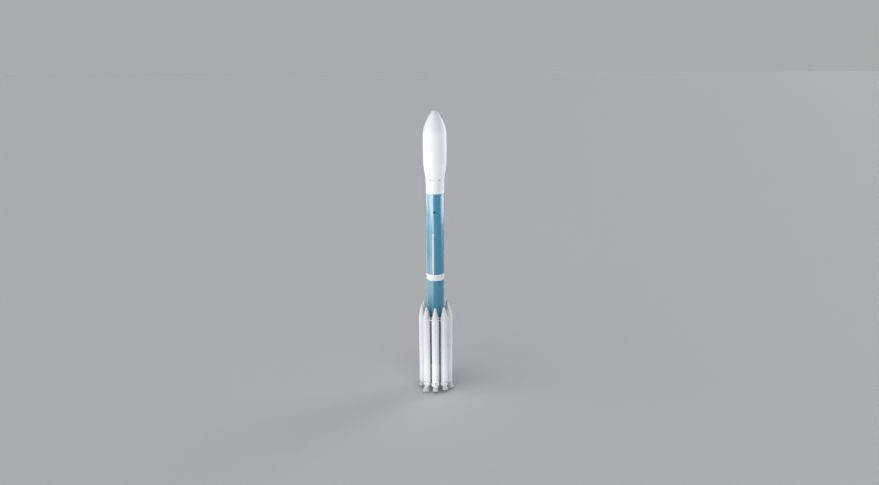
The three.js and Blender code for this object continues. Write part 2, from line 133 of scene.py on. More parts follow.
sky = bpy.data.worlds.new("sky")
sky.use_nodes = True
sky_light = sky.node_tree.nodes["Background"]
sky_light.inputs["Color"].default_value = SKY_COLOUR
sky_light.inputs["Strength"].default_value = SKY_STRENGTH
backdrop = added(sky.node_tree, "ShaderNodeBackground", {"Color": BACKDROP_COLOUR})
seen_sky = added(sky.node_tree, "ShaderNodeMixShader",
                 {0: added(sky.node_tree, "ShaderNodeLightPath").outputs["Is Camera Ray"]})
sky.node_tree.links.new(sky_light.outputs[0], seen_sky.inputs[1])
sky.node_tree.links.new(backdrop.outputs[0], seen_sky.inputs[2])
sky.node_tree.links.new(seen_sky.outputs[0], sky.node_tree.nodes["World Output"].inputs["Surface"])
bpy.context.scene.world = sky


def sun(name, azimuth, elevation, strength, width, colour, mirrored):
    """A soft lamp far away, with its direction from the rocket and its width in degrees."""
    bpy.ops.object.light_add(type="SUN")
    lamp = bpy.context.object
    lamp.name = name
    lamp.data.energy = strength
    lamp.data.angle = math.radians(width)
    lamp.data.color = colour
    lamp.visible_glossy = mirrored
    lamp.rotation_euler = (math.radians(90 - elevation), 0, math.radians(azimuth))


def lamp_field(name, azimuth, near, far, left, right, brightness, colour, mirrored):
    """Lamps on the floor, facing up, between two distances and two edges seen along an azimuth."""
    bpy.ops.object.light_add(type="AREA")
    lamp = bpy.context.object
    lamp.name = name
    lamp.data.shape = "RECTANGLE"
    lamp.data.size = right - left
    lamp.data.size_y = far - near
    lamp.data.energy = brightness * math.pi * (right - left) * (far - near)
    lamp.data.color = colour
    lamp.visible_camera = False
    lamp.visible_glossy = mirrored
    out = Matrix.Translation(((left + right) / 2, -(near + far) / 2, floor_height + LAMP_HEIGHT))
    face_up = Matrix.Rotation(math.radians(180), 4, "X")
    lamp.matrix_world = Matrix.Rotation(math.radians(azimuth), 4, "Z") @ out @ face_up


for lamp in (("upper_light", -60, 40, 1.0, 60, WHITE_LIGHT, False),
             ("front_light", 8, 50, 0.4, 50, (0.95, 0.97, 1.0), False),
             ("right_light", 122, 6, 1.8, 30, (0.93, 0.96, 1.0), True)):
    sun(*lamp)
for lamps in (("glow", 28, 50, 150, -110, 110, 1.6, COOL_LIGHT, False),
              ("left_field", -12, 27, 100, -100, 0, 1.4, WARM_LIGHT, True),
              ("near_field", -75, 34, 52, -30, 40, 1.7, WARM_LIGHT, True),
              ("side_field", -125, 30, 100, -40, 60, 0.55, WHITE_LIGHT, True),
              ("row_corner", -26, 76, 104, -18, 14, 4.5, WHITE_LIGHT, True),
              ("left_row", -46, 99, 170, -62, 62, 8.0, (1.0, 0.96, 0.92), True),
              ("side_row", -105, 99, 170, -75, 75, 3.2, WHITE_LIGHT, True),
              ("right_row", 105, 90, 180, -60, 60, 3.6, COLD_LIGHT, True),
              ("far_row", 126, 195, 340, -130, 130, 3.0, COLD_LIGHT, True),
              ("left_foot", -25, 4.5, 9, -7, 7, 3.3, WHITE_LIGHT, False),
              ("right_foot", 45, 4.5, 9, -7, 7, 1.4, COOL_LIGHT, False)):
    lamp_field(*lamps)

# Engine section
# The open skirt round the engines: an aluminium skin with rolled stringers riveted on outside
# and ring frames inside, painted light grey. Bolted doors in it reach the pumps.
SKIN_SIDES = 96
SMOOTH_ANGLE = 32
WELD_DISTANCE = 0.0002
SKIRT_WALL = 0.045
FRAME_HEIGHTS = (2.0, 1.5, 1.0, 0.6)
FRAME_DEPTH = 0.03
FRAME_HALF = 0.02
BELT = 1.61
BAND_HALF = 0.035
BAND_DEPTH = 0.008
BAND_MARGIN = 0.002
SECTION_BOLTS = 72
STRINGERS = 54
STRINGER_WIDTH = 0.035
STRINGER_DEPTH = 0.016
SUNK = 0.002
STRINGER_BAYS = ((0.43, BELT - 0.06), (BELT + 0.06, 2.44))
DOOR_AZIMUTHS = (60, 180, 300)
DOOR_WIDTH = 0.42
DOOR_HEIGHTS = (0.72, 1.36)
BOLT_SIZE = 0.012
HATCH_DEPTH = 0.007
HATCH_INSET = 0.03
HATCH_PITCH = 0.1
STREAK_RANGE = (0.48, 0.78)
PATCH_RANGE = (0.42, 0.72)
RIVET_ROW = 0.022
RIVET_PITCH = 0.06
RIVET_HEAD = 0.007
SEAM_LINE = (0.0015, 0.004)
SEAM_SHADE = 0.55
SEAM_SHARE = 0.7
GRAIN_SHARE = 0.25
BUMP_DISTANCE = 0.002
BUMP_STRENGTH = 0.5
COAT_ROUGHNESS = 0.12


def pick(piece):
    """Selects one piece alone."""
    deselect()
    piece.select_set(True)
    bpy.context.view_layer.objects.active = piece


def settled(piece):
    """Puts a piece's place, turn and scale into its mesh."""
    pick(piece)
    bpy.ops.object.transform_apply(location=True, rotation=True, scale=True)
    return piece


def turned_to(piece, azimuth, out=0.0):
    """Turns a piece made on +X to an azimuth round the vehicle, out metres from the axis."""
    angle = math.radians(azimuth - 90)
    piece.rotation_euler.z = angle
    piece.location = (out * math.cos(angle), out * math.sin(angle), 0)
    return settled(piece)


def aimed(piece, place, facing):
    """Turns a piece made up +Z to face a direction, and moves it to its place."""
    piece.rotation_euler = Vector(facing).to_track_quat("Z", "Y").to_euler()
    piece.location = place
    return settled(piece)


def set_mode(mode):
    bpy.ops.object.mode_set(mode=mode)


def marked(piece, parts, rule):
    """Enters edit mode with only those faces or corners of a piece selected that a rule picks."""
    pick(piece)
    set_mode("EDIT")
    bpy.ops.mesh.select_all(action="DESELECT")
    set_mode("OBJECT")
    for part in getattr(piece.data, parts):
        part.select = rule(part)
    set_mode("EDIT")


def welded():
    """Merges the doubles of a piece in edit mode, points its faces out and leaves the mode."""
    bpy.ops.mesh.select_all(action="SELECT")
    bpy.ops.mesh.remove_doubles(threshold=WELD_DISTANCE)
    bpy.ops.mesh.normals_make_consistent(inside=False)
    set_mode("OBJECT")


def named(piece, name):
    piece.name = name
    piece.data.name = name
    return piece


def smoothed(piece):
    pick(piece)
    bpy.ops.object.shade_smooth_by_angle(angle=math.radians(SMOOTH_ANGLE))
    return piece


def revolved(name, outline, sides=SKIN_SIDES, sweep=360, azimuth=90):
    """An outline of (radius, height) points, drawn point by point and spun about the axis."""
    deselect()
    bpy.ops.mesh.primitive_plane_add(size=0.01)
    piece = named(bpy.context.object, name)
    set_mode("EDIT")
    bpy.ops.mesh.select_all(action="SELECT")
    bpy.ops.mesh.merge(type="CENTER")
    radius, height = outline[0]
    bpy.ops.transform.translate(value=(radius, 0, height))
    for next_radius, next_height in outline[1:]:
        step = (next_radius - radius, 0, next_height - height)
        bpy.ops.mesh.extrude_region_move(TRANSFORM_OT_translate={"value": step})
        radius, height = next_radius, next_height
    bpy.ops.mesh.select_all(action="SELECT")
    bpy.ops.mesh.remove_doubles(threshold=WELD_DISTANCE)
    if sweep < 360:
        bpy.ops.mesh.edge_face_add()
    bpy.ops.mesh.spin(steps=sides, angle=math.radians(sweep), center=(0, 0, 0), axis=(0, 0, 1))
    welded()
    return smoothed(turned_to(piece, azimuth + sweep / 2))


def softened(piece, width, segments=2):
    """Breaks a piece's sharp edges."""
    pick(piece)
    edges = piece.modifiers.new("edges", "BEVEL")
    edges.width = width
    edges.segments = segments
    edges.limit_method = "ANGLE"
    edges.angle_limit = math.radians(SMOOTH_ANGLE)
    bpy.ops.object.modifier_apply(modifier="edges")
    return smoothed(piece)


def block(name, low, high, bevel=0.004):
    """A bar between two corners with its edges broken."""
    deselect()
    bpy.ops.mesh.primitive_cube_add(size=1, location=(Vector(low) + Vector(high)) / 2)
    piece = named(bpy.context.object, name)
    piece.scale = Vector(high) - Vector(low)
    return softened(settled(piece), bevel)


def bar(name, near, far, width, low, high, bevel=0.004):
    """A block on +X between two distances from the axis and two heights."""
    return block(name, (near, -width / 2, low), (far, width / 2, high), bevel)


def rowed(piece, count, turn=0.0, rise=0.0):
    """Repeats a piece as one mesh, each copy turned round the axis and raised from the last."""
    deselect()
    bpy.ops.object.empty_add(location=(0, 0, rise), rotation=(0, 0, math.radians(turn)))
    stepper = bpy.context.object
    row = piece.modifiers.new("row", "ARRAY")
    row.use_relative_offset = False
    row.use_object_offset = True
    row.offset_object = stepper
    row.count = count
    pick(piece)
    bpy.ops.object.modifier_apply(modifier="row")
    bpy.data.objects.remove(stepper)
    return piece


def bolt(place, facing=(1, 0, 0), size=BOLT_SIZE):
    """A hexagon bolt head with its corners broken, on the surface at a place."""
    deselect()
    bpy.ops.mesh.primitive_cylinder_add(vertices=6, radius=size, depth=size, location=(0, 0, size * 0.3))
    head = named(bpy.context.object, "bolt")
    marked(settled(head), "polygons", lambda face: face.normal.z > 0.9)
    bpy.ops.mesh.inset(thickness=size * 0.2, depth=size * 0.12)
    set_mode("OBJECT")
    return aimed(head, place, facing)


def joined(name, *pieces):
    """Several pieces made into one."""
    deselect()
    for piece in pieces:
        piece.select_set(True)
    bpy.context.view_layer.objects.active = pieces[0]
    bpy.ops.object.join()
    return named(pieces[0], name)


def hatch(name, radius, low, high, azimuth, width):
    """A curved cover bolted over an opening in a round skin."""
    spread = math.degrees(width / radius)
    margin = math.degrees(HATCH_INSET / radius)
    inside, outside = radius - HATCH_DEPTH, radius + HATCH_DEPTH
    sides = [(inside, low), (outside, low), (outside, high), (inside, high), (inside, low)]
    cover = softened(revolved(name, sides, 10, spread), 0.003)
    across = round(width / HATCH_PITCH)
    up = round((high - low) / HATCH_PITCH)
    turn = (spread - 2 * margin) / across
    rise = (high - low - 2 * HATCH_INSET) / up
    first, second = low + HATCH_INSET, low + HATCH_INSET + rise
    edge = rowed(rowed(bolt((outside, 0, first)), across + 1, turn=turn), 2, rise=rise * up)
    side = rowed(rowed(bolt((outside, 0, second)), up - 1, rise=rise), 2, turn=turn * across)
    for bolts in (edge, side):
        turned_to(bolts, 90 - spread / 2 + margin)
    return turned_to(joined(name, cover, edge, side), azimuth)


def bolt_ring(radius, height, count, size=BOLT_SIZE):
    """Bolts round a flange, facing out."""
    return rowed(bolt((radius, 0, height), size=size), count, turn=360 / count)


def fitted(piece, finish, slot, body, *nodes):
    """Gives a piece its finish and the body that it rides on, in place of its solids. The slot is not used.
    """
    if finish:
        piece.data.materials.clear()
        piece.data.materials.append(finish)
    if nodes:
        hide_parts(*nodes)
    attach(piece, body)
    return piece


def worked(tree, operation, *terms):
    """The result of a Math node."""
    return added(tree, "ShaderNodeMath", dict(enumerate(terms)), operation=operation).outputs[0]


def ranged(tree, value, low, high, low_result=0.0, high_result=1.0):
    """A value spread from one range to another and clamped."""
    ends = {"Value": value, "From Min": low, "From Max": high, "To Min": low_result, "To Max": high_result}
    return added(tree, "ShaderNodeMapRange", ends).outputs[0]


def tinted(tree, share, first, second):
    """A colour between two others."""
    return added(tree, "ShaderNodeMix", {0: share, 6: first, 7: second}, data_type="RGBA").outputs[2]


def between(tree, share, first, second):
    """A number between two others."""
    return added(tree, "ShaderNodeMix", {0: share, 2: first, 3: second}).outputs[0]


def group_tree(name, inputs, outputs):
    """An empty node group with its sockets, and its input and output nodes' sockets."""
    tree = bpy.data.node_groups.new(name, "ShaderNodeTree")
    for way, sockets in (("INPUT", inputs), ("OUTPUT", outputs)):
        for label, kind in sockets.items():
            tree.interface.new_socket(label, in_out=way, socket_type=f"NodeSocket{kind}")
    return tree, tree.nodes.new("NodeGroupInput").outputs, tree.nodes.new("NodeGroupOutput").inputs


def weather_group():
    """What weather leaves on a finish: streaks that run down, clouded patches and a fine grain."""
    tree, given, made = group_tree(
        "weather",
        {"Paint": "Color", "Mark": "Color", "Streaks": "Float", "Patches": "Float", "Gloss": "Float",
         "Dullness": "Float"},
        {"Colour": "Color", "Roughness": "Float", "Height": "Float"})
    place = added(tree, "ShaderNodeTexCoord").outputs["Object"]
    run = added(tree, "ShaderNodeMapping", {"Vector": place, "Scale": (3.0, 3.0, 0.16)}).outputs[0]
    streak = added(tree, "ShaderNodeTexNoise", {"Vector": run, "Scale": 2.4, "Detail": 5.0}).outputs[0]
    streaks = worked(tree, "MULTIPLY", ranged(tree, streak, *STREAK_RANGE), given["Streaks"])
    cloud = added(tree, "ShaderNodeTexNoise", {"Vector": place, "Scale": 0.9, "Detail": 6.0}).outputs[0]
    patches = worked(tree, "MULTIPLY", ranged(tree, cloud, *PATCH_RANGE), given["Patches"])
    share = worked(tree, "MAXIMUM", streaks, patches)
    grain = added(tree, "ShaderNodeTexNoise", {"Vector": place, "Scale": 55.0, "Detail": 3.0}).outputs[0]
    tree.links.new(tinted(tree, share, given["Paint"], given["Mark"]), made["Colour"])
    tree.links.new(between(tree, share, given["Gloss"], given["Dullness"]), made["Roughness"])
    tree.links.new(grain, made["Height"])
    return tree


def seam_group():
    """Upright seams round the vehicle's axis, each with a row of rivets on both sides."""
    tree, given, made = group_tree("seams", {"Seams": "Float", "Pitch": "Float", "Head": "Float"},
                                   {"Height": "Float", "Line": "Float"})
    place = added(tree, "ShaderNodeTexCoord").outputs["Object"]
    axes = added(tree, "ShaderNodeSeparateXYZ", {0: place}).outputs
    radius = worked(tree, "SQRT", worked(tree, "ADD", worked(tree, "MULTIPLY", axes[0], axes[0]),
                                         worked(tree, "MULTIPLY", axes[1], axes[1])))
    turns = worked(tree, "DIVIDE", worked(tree, "ARCTAN2", axes[1], axes[0]), 2 * math.pi)
    counted = worked(tree, "FRACT", worked(tree, "MULTIPLY", turns, given["Seams"]))
    part = worked(tree, "SUBTRACT", counted, 0.5)
    arc = worked(tree, "DIVIDE", worked(tree, "MULTIPLY", radius, 2 * math.pi), given["Seams"])
    across = worked(tree, "ABSOLUTE", worked(tree, "MULTIPLY", part, arc))
    step = worked(tree, "FRACT", worked(tree, "DIVIDE", axes[2], given["Pitch"]))
    along = worked(tree, "MULTIPLY", worked(tree, "SUBTRACT", step, 0.5), given["Pitch"])
    row = worked(tree, "SUBTRACT", across, RIVET_ROW)
    reach = worked(tree, "SQRT", worked(tree, "ADD", worked(tree, "MULTIPLY", row, row),
                                        worked(tree, "MULTIPLY", along, along)))
    head = ranged(tree, worked(tree, "DIVIDE", reach, given["Head"]), 0.5, 1.0, 1.0, 0.0)
    line = ranged(tree, across, *SEAM_LINE, 1.0, 0.0)
    tree.links.new(worked(tree, "SUBTRACT", head, line), made["Height"])
    tree.links.new(line, made["Line"])
    return tree


weather = weather_group()
seams = seam_group()


def painted(name, colour, mark, streaks, patches, gloss, dullness, coat=0.0, seam_count=0, shine=1.5,
            metal=0.0):
    """A paint or a bare metal with the weather's marks, over riveted seams where the skin has them."""
    finish = bpy.data.materials.new(name)
    finish.use_nodes = True
    tree = finish.node_tree
    shader = tree.nodes["Principled BSDF"]
    for label, choice in (("Coat Weight", coat), ("Coat Roughness", COAT_ROUGHNESS), ("IOR", shine),
                          ("Metallic", metal)):
        shader.inputs[label].default_value = choice
    marks = added(tree, "ShaderNodeGroup",
                  {"Paint": (*colour, 1), "Mark": (*mark, 1), "Streaks": streaks, "Patches": patches,
                   "Gloss": gloss, "Dullness": dullness}, node_tree=weather).outputs
    shown = marks["Colour"]
    height = worked(tree, "MULTIPLY", marks["Height"], GRAIN_SHARE)
    if seam_count:
        rows = added(tree, "ShaderNodeGroup",
                     {"Seams": seam_count, "Pitch": RIVET_PITCH, "Head": RIVET_HEAD},
                     node_tree=seams).outputs
        height = worked(tree, "ADD", height, rows["Height"])
        dark = tuple(part * SEAM_SHADE for part in colour)
        shown = tinted(tree, worked(tree, "MULTIPLY", rows["Line"], SEAM_SHARE), shown, (*dark, 1))
    tree.links.new(shown, shader.inputs["Base Color"])
    tree.links.new(marks["Roughness"], shader.inputs["Roughness"])
    bump = added(tree, "ShaderNodeBump",
                 {"Height": height, "Distance": BUMP_DISTANCE, "Strength": BUMP_STRENGTH})
    tree.links.new(bump.outputs["Normal"], shader.inputs["Normal"])
    return finish


def stepped(radius, bands, top):
    """The points of a round skin going up, with raised bands: each is (height, half width, depth)."""
    points = []
    for height, half, depth in bands:
        points += [(radius, height - half), (radius + depth, height - half + depth / 2),
                   (radius + depth, height + half - depth / 2), (radius, height + half)]
    return points + [(radius, top)]


grey_paint = painted("engine_section_paint", (0.47, 0.50, 0.52), (0.30, 0.30, 0.29), 0.35, 0.25, 0.45, 0.7)
skirt_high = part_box("engine_section")[1]
core_radius = skirt_high.x
skirt_inside = core_radius - SKIRT_WALL
skirt_bands = [(BELT, BAND_HALF, BAND_DEPTH),
               (skirt_high.z - BAND_HALF - BAND_MARGIN, BAND_HALF, BAND_DEPTH)]
skirt_outline = [(skirt_inside, 0), (core_radius, 0), *stepped(core_radius, skirt_bands, skirt_high.z),
                 (skirt_inside, skirt_high.z)]
frame_edge = skirt_inside - FRAME_DEPTH
for height in FRAME_HEIGHTS:
    low, high = height - FRAME_HALF, height + FRAME_HALF
    skirt_outline += [(skirt_inside, high), (frame_edge, high), (frame_edge, low), (skirt_inside, low)]
skirt = revolved("engine_section_skin", [*skirt_outline, skirt_outline[0]])
fitted(skirt, grey_paint, "engine_section_grey", "core", "engine_section")

stringer_rows = []
for low, high in STRINGER_BAYS:
    stringer = bar("stringer", core_radius - SUNK, core_radius + STRINGER_DEPTH, STRINGER_WIDTH, low, high)
    stringer_rows.append(rowed(stringer, STRINGERS, turn=360 / STRINGERS))
fitted(joined("engine_section_stringers", *stringer_rows), grey_paint, "engine_section_grey", "core")

doors = [hatch("door", core_radius + STRINGER_DEPTH, *DOOR_HEIGHTS, azimuth, DOOR_WIDTH)
         for azimuth in DOOR_AZIMUTHS]
skirt_bolts = bolt_ring(core_radius + BAND_DEPTH, skirt_high.z - BAND_HALF, SECTION_BOLTS)
fitted(joined("engine_section_doors", *doors, skirt_bolts), grey_paint, "engine_section_grey", "core")

# Hold-down ring
# A machined steel ring bolted round the skirt's foot. Its three feet are held down while the
# engine starts, and let go together at lift-off.
RING_DEPTH = 0.043
RING_BOLTS = 48
CHANNEL_LIP = 0.02
CHANNEL_ROOT = 0.03
FOOT_AZIMUTHS = (20, 140, 260)
FOOT_WIDTH = 0.26
FOOT_REACH = 1.40
STUD_CIRCLE = 1.345
STUD_SPREAD = 0.075
STUD_SIZE = 0.022
steel_paint = painted("holddown_steel", (0.38, 0.38, 0.38), (0.18, 0.14, 0.11), 0.4, 0.5, 0.45, 0.75,
                      metal=0.6)
ring_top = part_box("holddown_ring")[1].z
ring_outside = core_radius + RING_DEPTH
ring_web = core_radius + RING_DEPTH / 2
ring_seat = core_radius + 0.0005


def channel_ring(bottom, top):
    """A ring of channel section on the core, open to the outside."""
    channel = [(ring_seat, bottom), (ring_outside, bottom), (ring_outside, bottom + CHANNEL_LIP),
               (ring_web, bottom + CHANNEL_ROOT), (ring_web, top - CHANNEL_ROOT),
               (ring_outside, top - CHANNEL_LIP), (ring_outside, top), (ring_seat, top)]
    return revolved("ring", [*channel, channel[0]])


holddown = [channel_ring(0, ring_top), bolt_ring(ring_web, ring_top / 2, RING_BOLTS)]
for azimuth in FOOT_AZIMUTHS:
    foot = bar("foot", ring_web, FOOT_REACH, FOOT_WIDTH, 0, ring_top, 0.008)
    studs = [bolt((STUD_CIRCLE, side * STUD_SPREAD, ring_top), (0, 0, 1), STUD_SIZE) for side in (-1, 1)]
    holddown.append(turned_to(joined("foot", foot, *studs), azimuth))
fitted(joined("holddown_ring_detail", *holddown), steel_paint, "bare_metal", "core", "holddown_ring")

# Tanks, centre body, interstage and upper skirt
# Aluminium barrels welded or riveted from curved panels. Both tanks and the interstage carry a
# glossy teal paint, the other two are satin white, and bolted flanges join each to the next.
TEAL = (0.022, 0.225, 0.36)
TEAL_MARK = (0.035, 0.26, 0.39)
TEAL_SHINE = 1.7
WHITE = (0.80, 0.81, 0.83)
WHITE_MARK = (0.62, 0.62, 0.61)
WELD_HALF = 0.014
WELD_DEPTH = 0.003
BODY_COVERS = ((15.48, 15.92, 40, 0.5), (15.48, 15.92, 130, 0.5), (15.48, 15.92, 220, 0.5),
               (15.48, 15.92, 310, 0.5), (27.55, 28.15, 118, 0.5))
TANK_COVERS = ((23.0, 23.7, 140, 0.55), (25.3, 25.9, -125, 0.45), (3.0, 3.4, 75, 0.3),
               (21.3, 21.6, 75, 0.3))

tank_paint = painted("tank_paint", TEAL, TEAL_MARK, 0.3, 0.12, 0.24, 0.38, coat=1.0, shine=TEAL_SHINE)
interstage_paint = painted("interstage_paint", TEAL, TEAL_MARK, 0.3, 0.12, 0.26, 0.4, coat=1.0,
                           seam_count=8, shine=TEAL_SHINE)
body_paint = painted("body_paint", WHITE, WHITE_MARK, 0.25, 0.2, 0.38, 0.55, coat=0.2, seam_count=8)
# Near-black paint for the floor of each vent: painted shade that stands in for the dark inside an opening.
painted_hole_shade = painted("painted_hole_shade", (0.006, 0.006, 0.007), (0.016, 0.016, 0.016), 0.2, 0.4, 0.6, 0.8,
                       shine=1.1)


def two_finishes(piece, first, second, rule):
    """Gives a piece a finish, and a second one on the faces that a rule picks."""
    piece.data.materials.append(first)
    piece.data.materials.append(second)
    for face in piece.data.polygons:
        if rule(face):
            face.material_index = 1


def port(name, radius, height, azimuth, size, stretch=1.0, finish=body_paint):
    """A round vent in a skin: a low flange round a shallow disc painted near black as the shade inside its
    opening, taller than wide where stretched.
    """
    rim = [(0, -0.015), (size * 1.25, -0.015), (size * 1.25, 0.004), (size * 1.15, 0.008), (size, 0.008),
           (size * 0.96, 0.002), (0, 0.002)]
    vent = revolved(name, rim, 32)
    # The disc inside the flange takes the near-black paint, as painted shade of the opening.
    two_finishes(vent, finish, painted_hole_shade, lambda face: face.center.xy.length < size * 0.97
                 or face.normal.z > 0.9 and face.center.z < 0.004)
    vent.scale.y = stretch
    settled(vent)
    return turned_to(aimed(vent, (radius, 0, height), (1, 0, 0)), azimuth)


sections = (
    ("lower_tank", tank_paint, "tank_teal", (4.9, 7.3, 12.2, 14.5), ()),
    ("centre_body", body_paint, "body_white", (), ()),
    ("upper_tank", tank_paint, "tank_teal", (17.2, 19.1, 21.0), ()),
    ("interstage", interstage_paint, "tank_teal", (), (24.43,)),
    ("upper_skirt", body_paint, "body_white", (), ()),
)
for node, finish, slot, welds, joints in sections:
    low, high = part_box(node)
    flanges = [low.z + BAND_HALF + BAND_MARGIN, *joints, high.z - BAND_HALF - BAND_MARGIN]
    bands = sorted([(height, BAND_HALF, BAND_DEPTH) for height in flanges]
                   + [(height, WELD_HALF, WELD_DEPTH) for height in welds])
    outline = [(0, low.z), (core_radius, low.z), *stepped(core_radius, bands, high.z), (0, high.z)]
    fitted(revolved(f"{node}_skin", outline), finish, slot, "core", node)
    rows = [bolt_ring(core_radius + BAND_DEPTH, height, SECTION_BOLTS) for height in flanges]
    fitted(joined(f"{node}_bolts", *rows), finish, slot, "core")

for name, places, finish, slot in (("body_covers", BODY_COVERS, body_paint, "body_white"),
                                   ("tank_covers", TANK_COVERS, tank_paint, "tank_teal")):
    covers = [hatch("cover", core_radius, *place) for place in places]
    fitted(joined(name, *covers), finish, slot, "core")
for name, height, azimuth, size, finish, slot in (
        ("interstage_vent", 24.84, -2, 0.15, interstage_paint, "tank_teal"),
        ("skirt_port_left", 27.9, -46, 0.055, body_paint, "body_white"),
        ("skirt_port_right", 27.9, 54, 0.055, body_paint, "body_white"),
        ("tank_vent", 14.0, 100, 0.09, tank_paint, "tank_teal")):
    fitted(port(name, core_radius, height, azimuth, size, finish=finish), None, slot, "core")

# Cable tunnels
# Long covers of folded sheet down the core's front and back, which keep the wiring and the
# pressure lines out of the wind, strapped at each joint and bolted along both edges. They are
# teal beside the lower tank and white from the centre body up: white paint where they cross the
# white centre body, and over the upper tank white as a painted highlight.
TUNNEL_AZIMUTHS = (-11.25, 168.75)
TUNNEL_WIDTH = 0.13
TUNNEL_DEPTH = 0.082
TUNNEL_RAMP = 0.16
RAMP_SHRINK = (0.15, 0.7, 1)
FOOT_PLATE_WIDTH = 0.19
FOOT_PLATE_DEPTH = 0.006
STRAP_START = 0.3
STRAP_TOP = 0.36
STRAP_DEPTH = 0.006
STRAP_WIDTH = TUNNEL_WIDTH + 2 * STRAP_DEPTH
STRAP_PITCH = 1.45
EDGE_BOLT_SPREAD = 0.082
EDGE_BOLT_START = 0.1
EDGE_BOLT_PITCH = 0.3

tunnel_low, tunnel_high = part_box("cable_tunnel_1")
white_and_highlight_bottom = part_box("centre_body")[0].z
for number, azimuth in enumerate(TUNNEL_AZIMUTHS, 1):
    bottom, top = tunnel_low.z + TUNNEL_RAMP, tunnel_high.z - TUNNEL_RAMP
    deselect()
    bpy.ops.mesh.primitive_cube_add(size=1,
                                    location=(core_radius + TUNNEL_DEPTH / 2, 0, (bottom + top) / 2))
    cover = bpy.context.object
    cover.scale = (TUNNEL_DEPTH, TUNNEL_WIDTH, top - bottom)
    settled(cover)
    for end, way in ((top, 1), (bottom, -1)):
        for face in cover.data.polygons:
            face.select = face.normal.z * way > 0.9
        set_mode("EDIT")
        bpy.ops.mesh.extrude_region_move(TRANSFORM_OT_translate={"value": (0, 0, way * TUNNEL_RAMP)})
        bpy.ops.transform.resize(value=RAMP_SHRINK, center_override=(core_radius, 0, end))
        bpy.ops.mesh.select_all(action="DESELECT")
        set_mode("OBJECT")
    softened(cover, 0.02, 3)
    plate = bar("plate", core_radius - SUNK, core_radius + FOOT_PLATE_DEPTH, FOOT_PLATE_WIDTH,
                tunnel_low.z, tunnel_high.z, 0.002)
    strap = bar("strap", core_radius, core_radius + TUNNEL_DEPTH + STRAP_DEPTH, STRAP_WIDTH,
                bottom + STRAP_START, bottom + STRAP_TOP, 0.018)
    rowed(strap, int((top - bottom) / STRAP_PITCH), rise=STRAP_PITCH)
    heads = int((tunnel_high.z - tunnel_low.z) / EDGE_BOLT_PITCH)
    edge_bolts = []
    for side in (-1, 1):
        place = (core_radius + FOOT_PLATE_DEPTH, side * EDGE_BOLT_SPREAD, tunnel_low.z + EDGE_BOLT_START)
        edge_bolts.append(rowed(bolt(place, size=0.008), heads, rise=EDGE_BOLT_PITCH))
    tunnel = turned_to(joined(f"cable_tunnel_{number}_cover", cover, plate, strap, *edge_bolts), azimuth)
    set_mode("EDIT")
    bpy.ops.mesh.select_all(action="SELECT")
    bpy.ops.mesh.bisect(plane_co=(0, 0, white_and_highlight_bottom), plane_no=(0, 0, 1))
    set_mode("OBJECT")
    # Faces above the centre body's foot take the white: its own white across the centre body, and a painted
    # highlight over the upper tank.
    two_finishes(tunnel, tank_paint, body_paint, lambda face: face.center.z > white_and_highlight_bottom)
    fitted(tunnel, None, "tank_teal", "core", f"cable_tunnel_{number}")

# Attach rings
# Two white aluminium channel rings bolted round the core, which the boosters hang from. A short
# bolted lug reaches from them to each booster.
BOOSTERS = range(1, 10)
BOOSTER_CIRCLE = 1.87
BOOSTER_RADIUS = 0.508
LUG_WIDTH = 0.19
LUG_BOLT_SPREAD = 0.055
LUG_BOLT_SIZE = 0.016
ATTACH_BOLTS = 54
fitting_paint = painted("fitting_paint", (0.78, 0.79, 0.80), (0.55, 0.55, 0.54), 0.2, 0.4, 0.42, 0.6)

lug_end = BOOSTER_CIRCLE - BOOSTER_RADIUS
for node in ("forward_attach_ring", "aft_attach_ring"):
    bottom, top = (corner.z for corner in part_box(node))
    ring = channel_ring(bottom, top)
    lug = [bar("lug", ring_web, lug_end + 0.004, LUG_WIDTH, bottom + (top - bottom) / 4, top, 0.012)]
    lug += [bolt(((ring_outside + lug_end) / 2, side * LUG_BOLT_SPREAD, top), (0, 0, 1), LUG_BOLT_SIZE)
            for side in (-1, 1)]
    lugs = rowed(turned_to(joined("lugs", *lug), 0), len(BOOSTERS), turn=360 / len(BOOSTERS))
    ring_bolts = bolt_ring(ring_web, (bottom + top) / 2, ATTACH_BOLTS)
    fitted(joined(f"{node}_detail", ring, lugs, ring_bolts), fitting_paint, "fitting_white", "core", node)

# Booster cases
# Nine solid motors in wound carbon cases, painted white. Each has a forward ring, a flared aft
# rim with an oval port above it, a raceway down its side and a domed closure for the nozzle.
BOOSTER_SIDES = 48
AFT_RIM_RADIUS = 0.545
AFT_RIM_TOP = -0.16
AFT_RIM_BOTTOM = -0.36
AFT_FLARE_TOP = -0.02
CANT_HEIGHT = 0.12
NOZZLE_CANT = 10
CLOSURE_TOP = 0.30
CLOSURE_SHOULDER = 0.44
CLOSURE_BOTTOM = 0.60
CLOSURE_RADIUS = 0.305
CLOSURE_SWELL = 0.085
CLOSURE_STEPS = 8
CASE_BANDS = ((1.05, 0.02, 0.004), (9.20, 0.02, 0.004), (9.635, 0.095, 0.005))
HEAD_BAND = (0.05, 0.045, 0.006)
RACEWAY = (0.45, 9.3)
CLAMP = (0.8, 0.85)
CLAMPS = 9
CLAMP_PITCH = 1.02
RIM_BOLTS = 24
HEAD_BOLTS = 32
PORT_HEIGHT = 0.19
PORT_SIZE = 0.062
PORT_STRETCH = 1.9
booster_paint = painted("booster_paint", WHITE, (0.60, 0.61, 0.62), 0.3, 0.2, 0.36, 0.5, coat=0.15)


def copied(piece):
    """A copy with a mesh of its own."""
    pick(piece)
    bpy.ops.object.duplicate(linked=False)
    return bpy.context.object


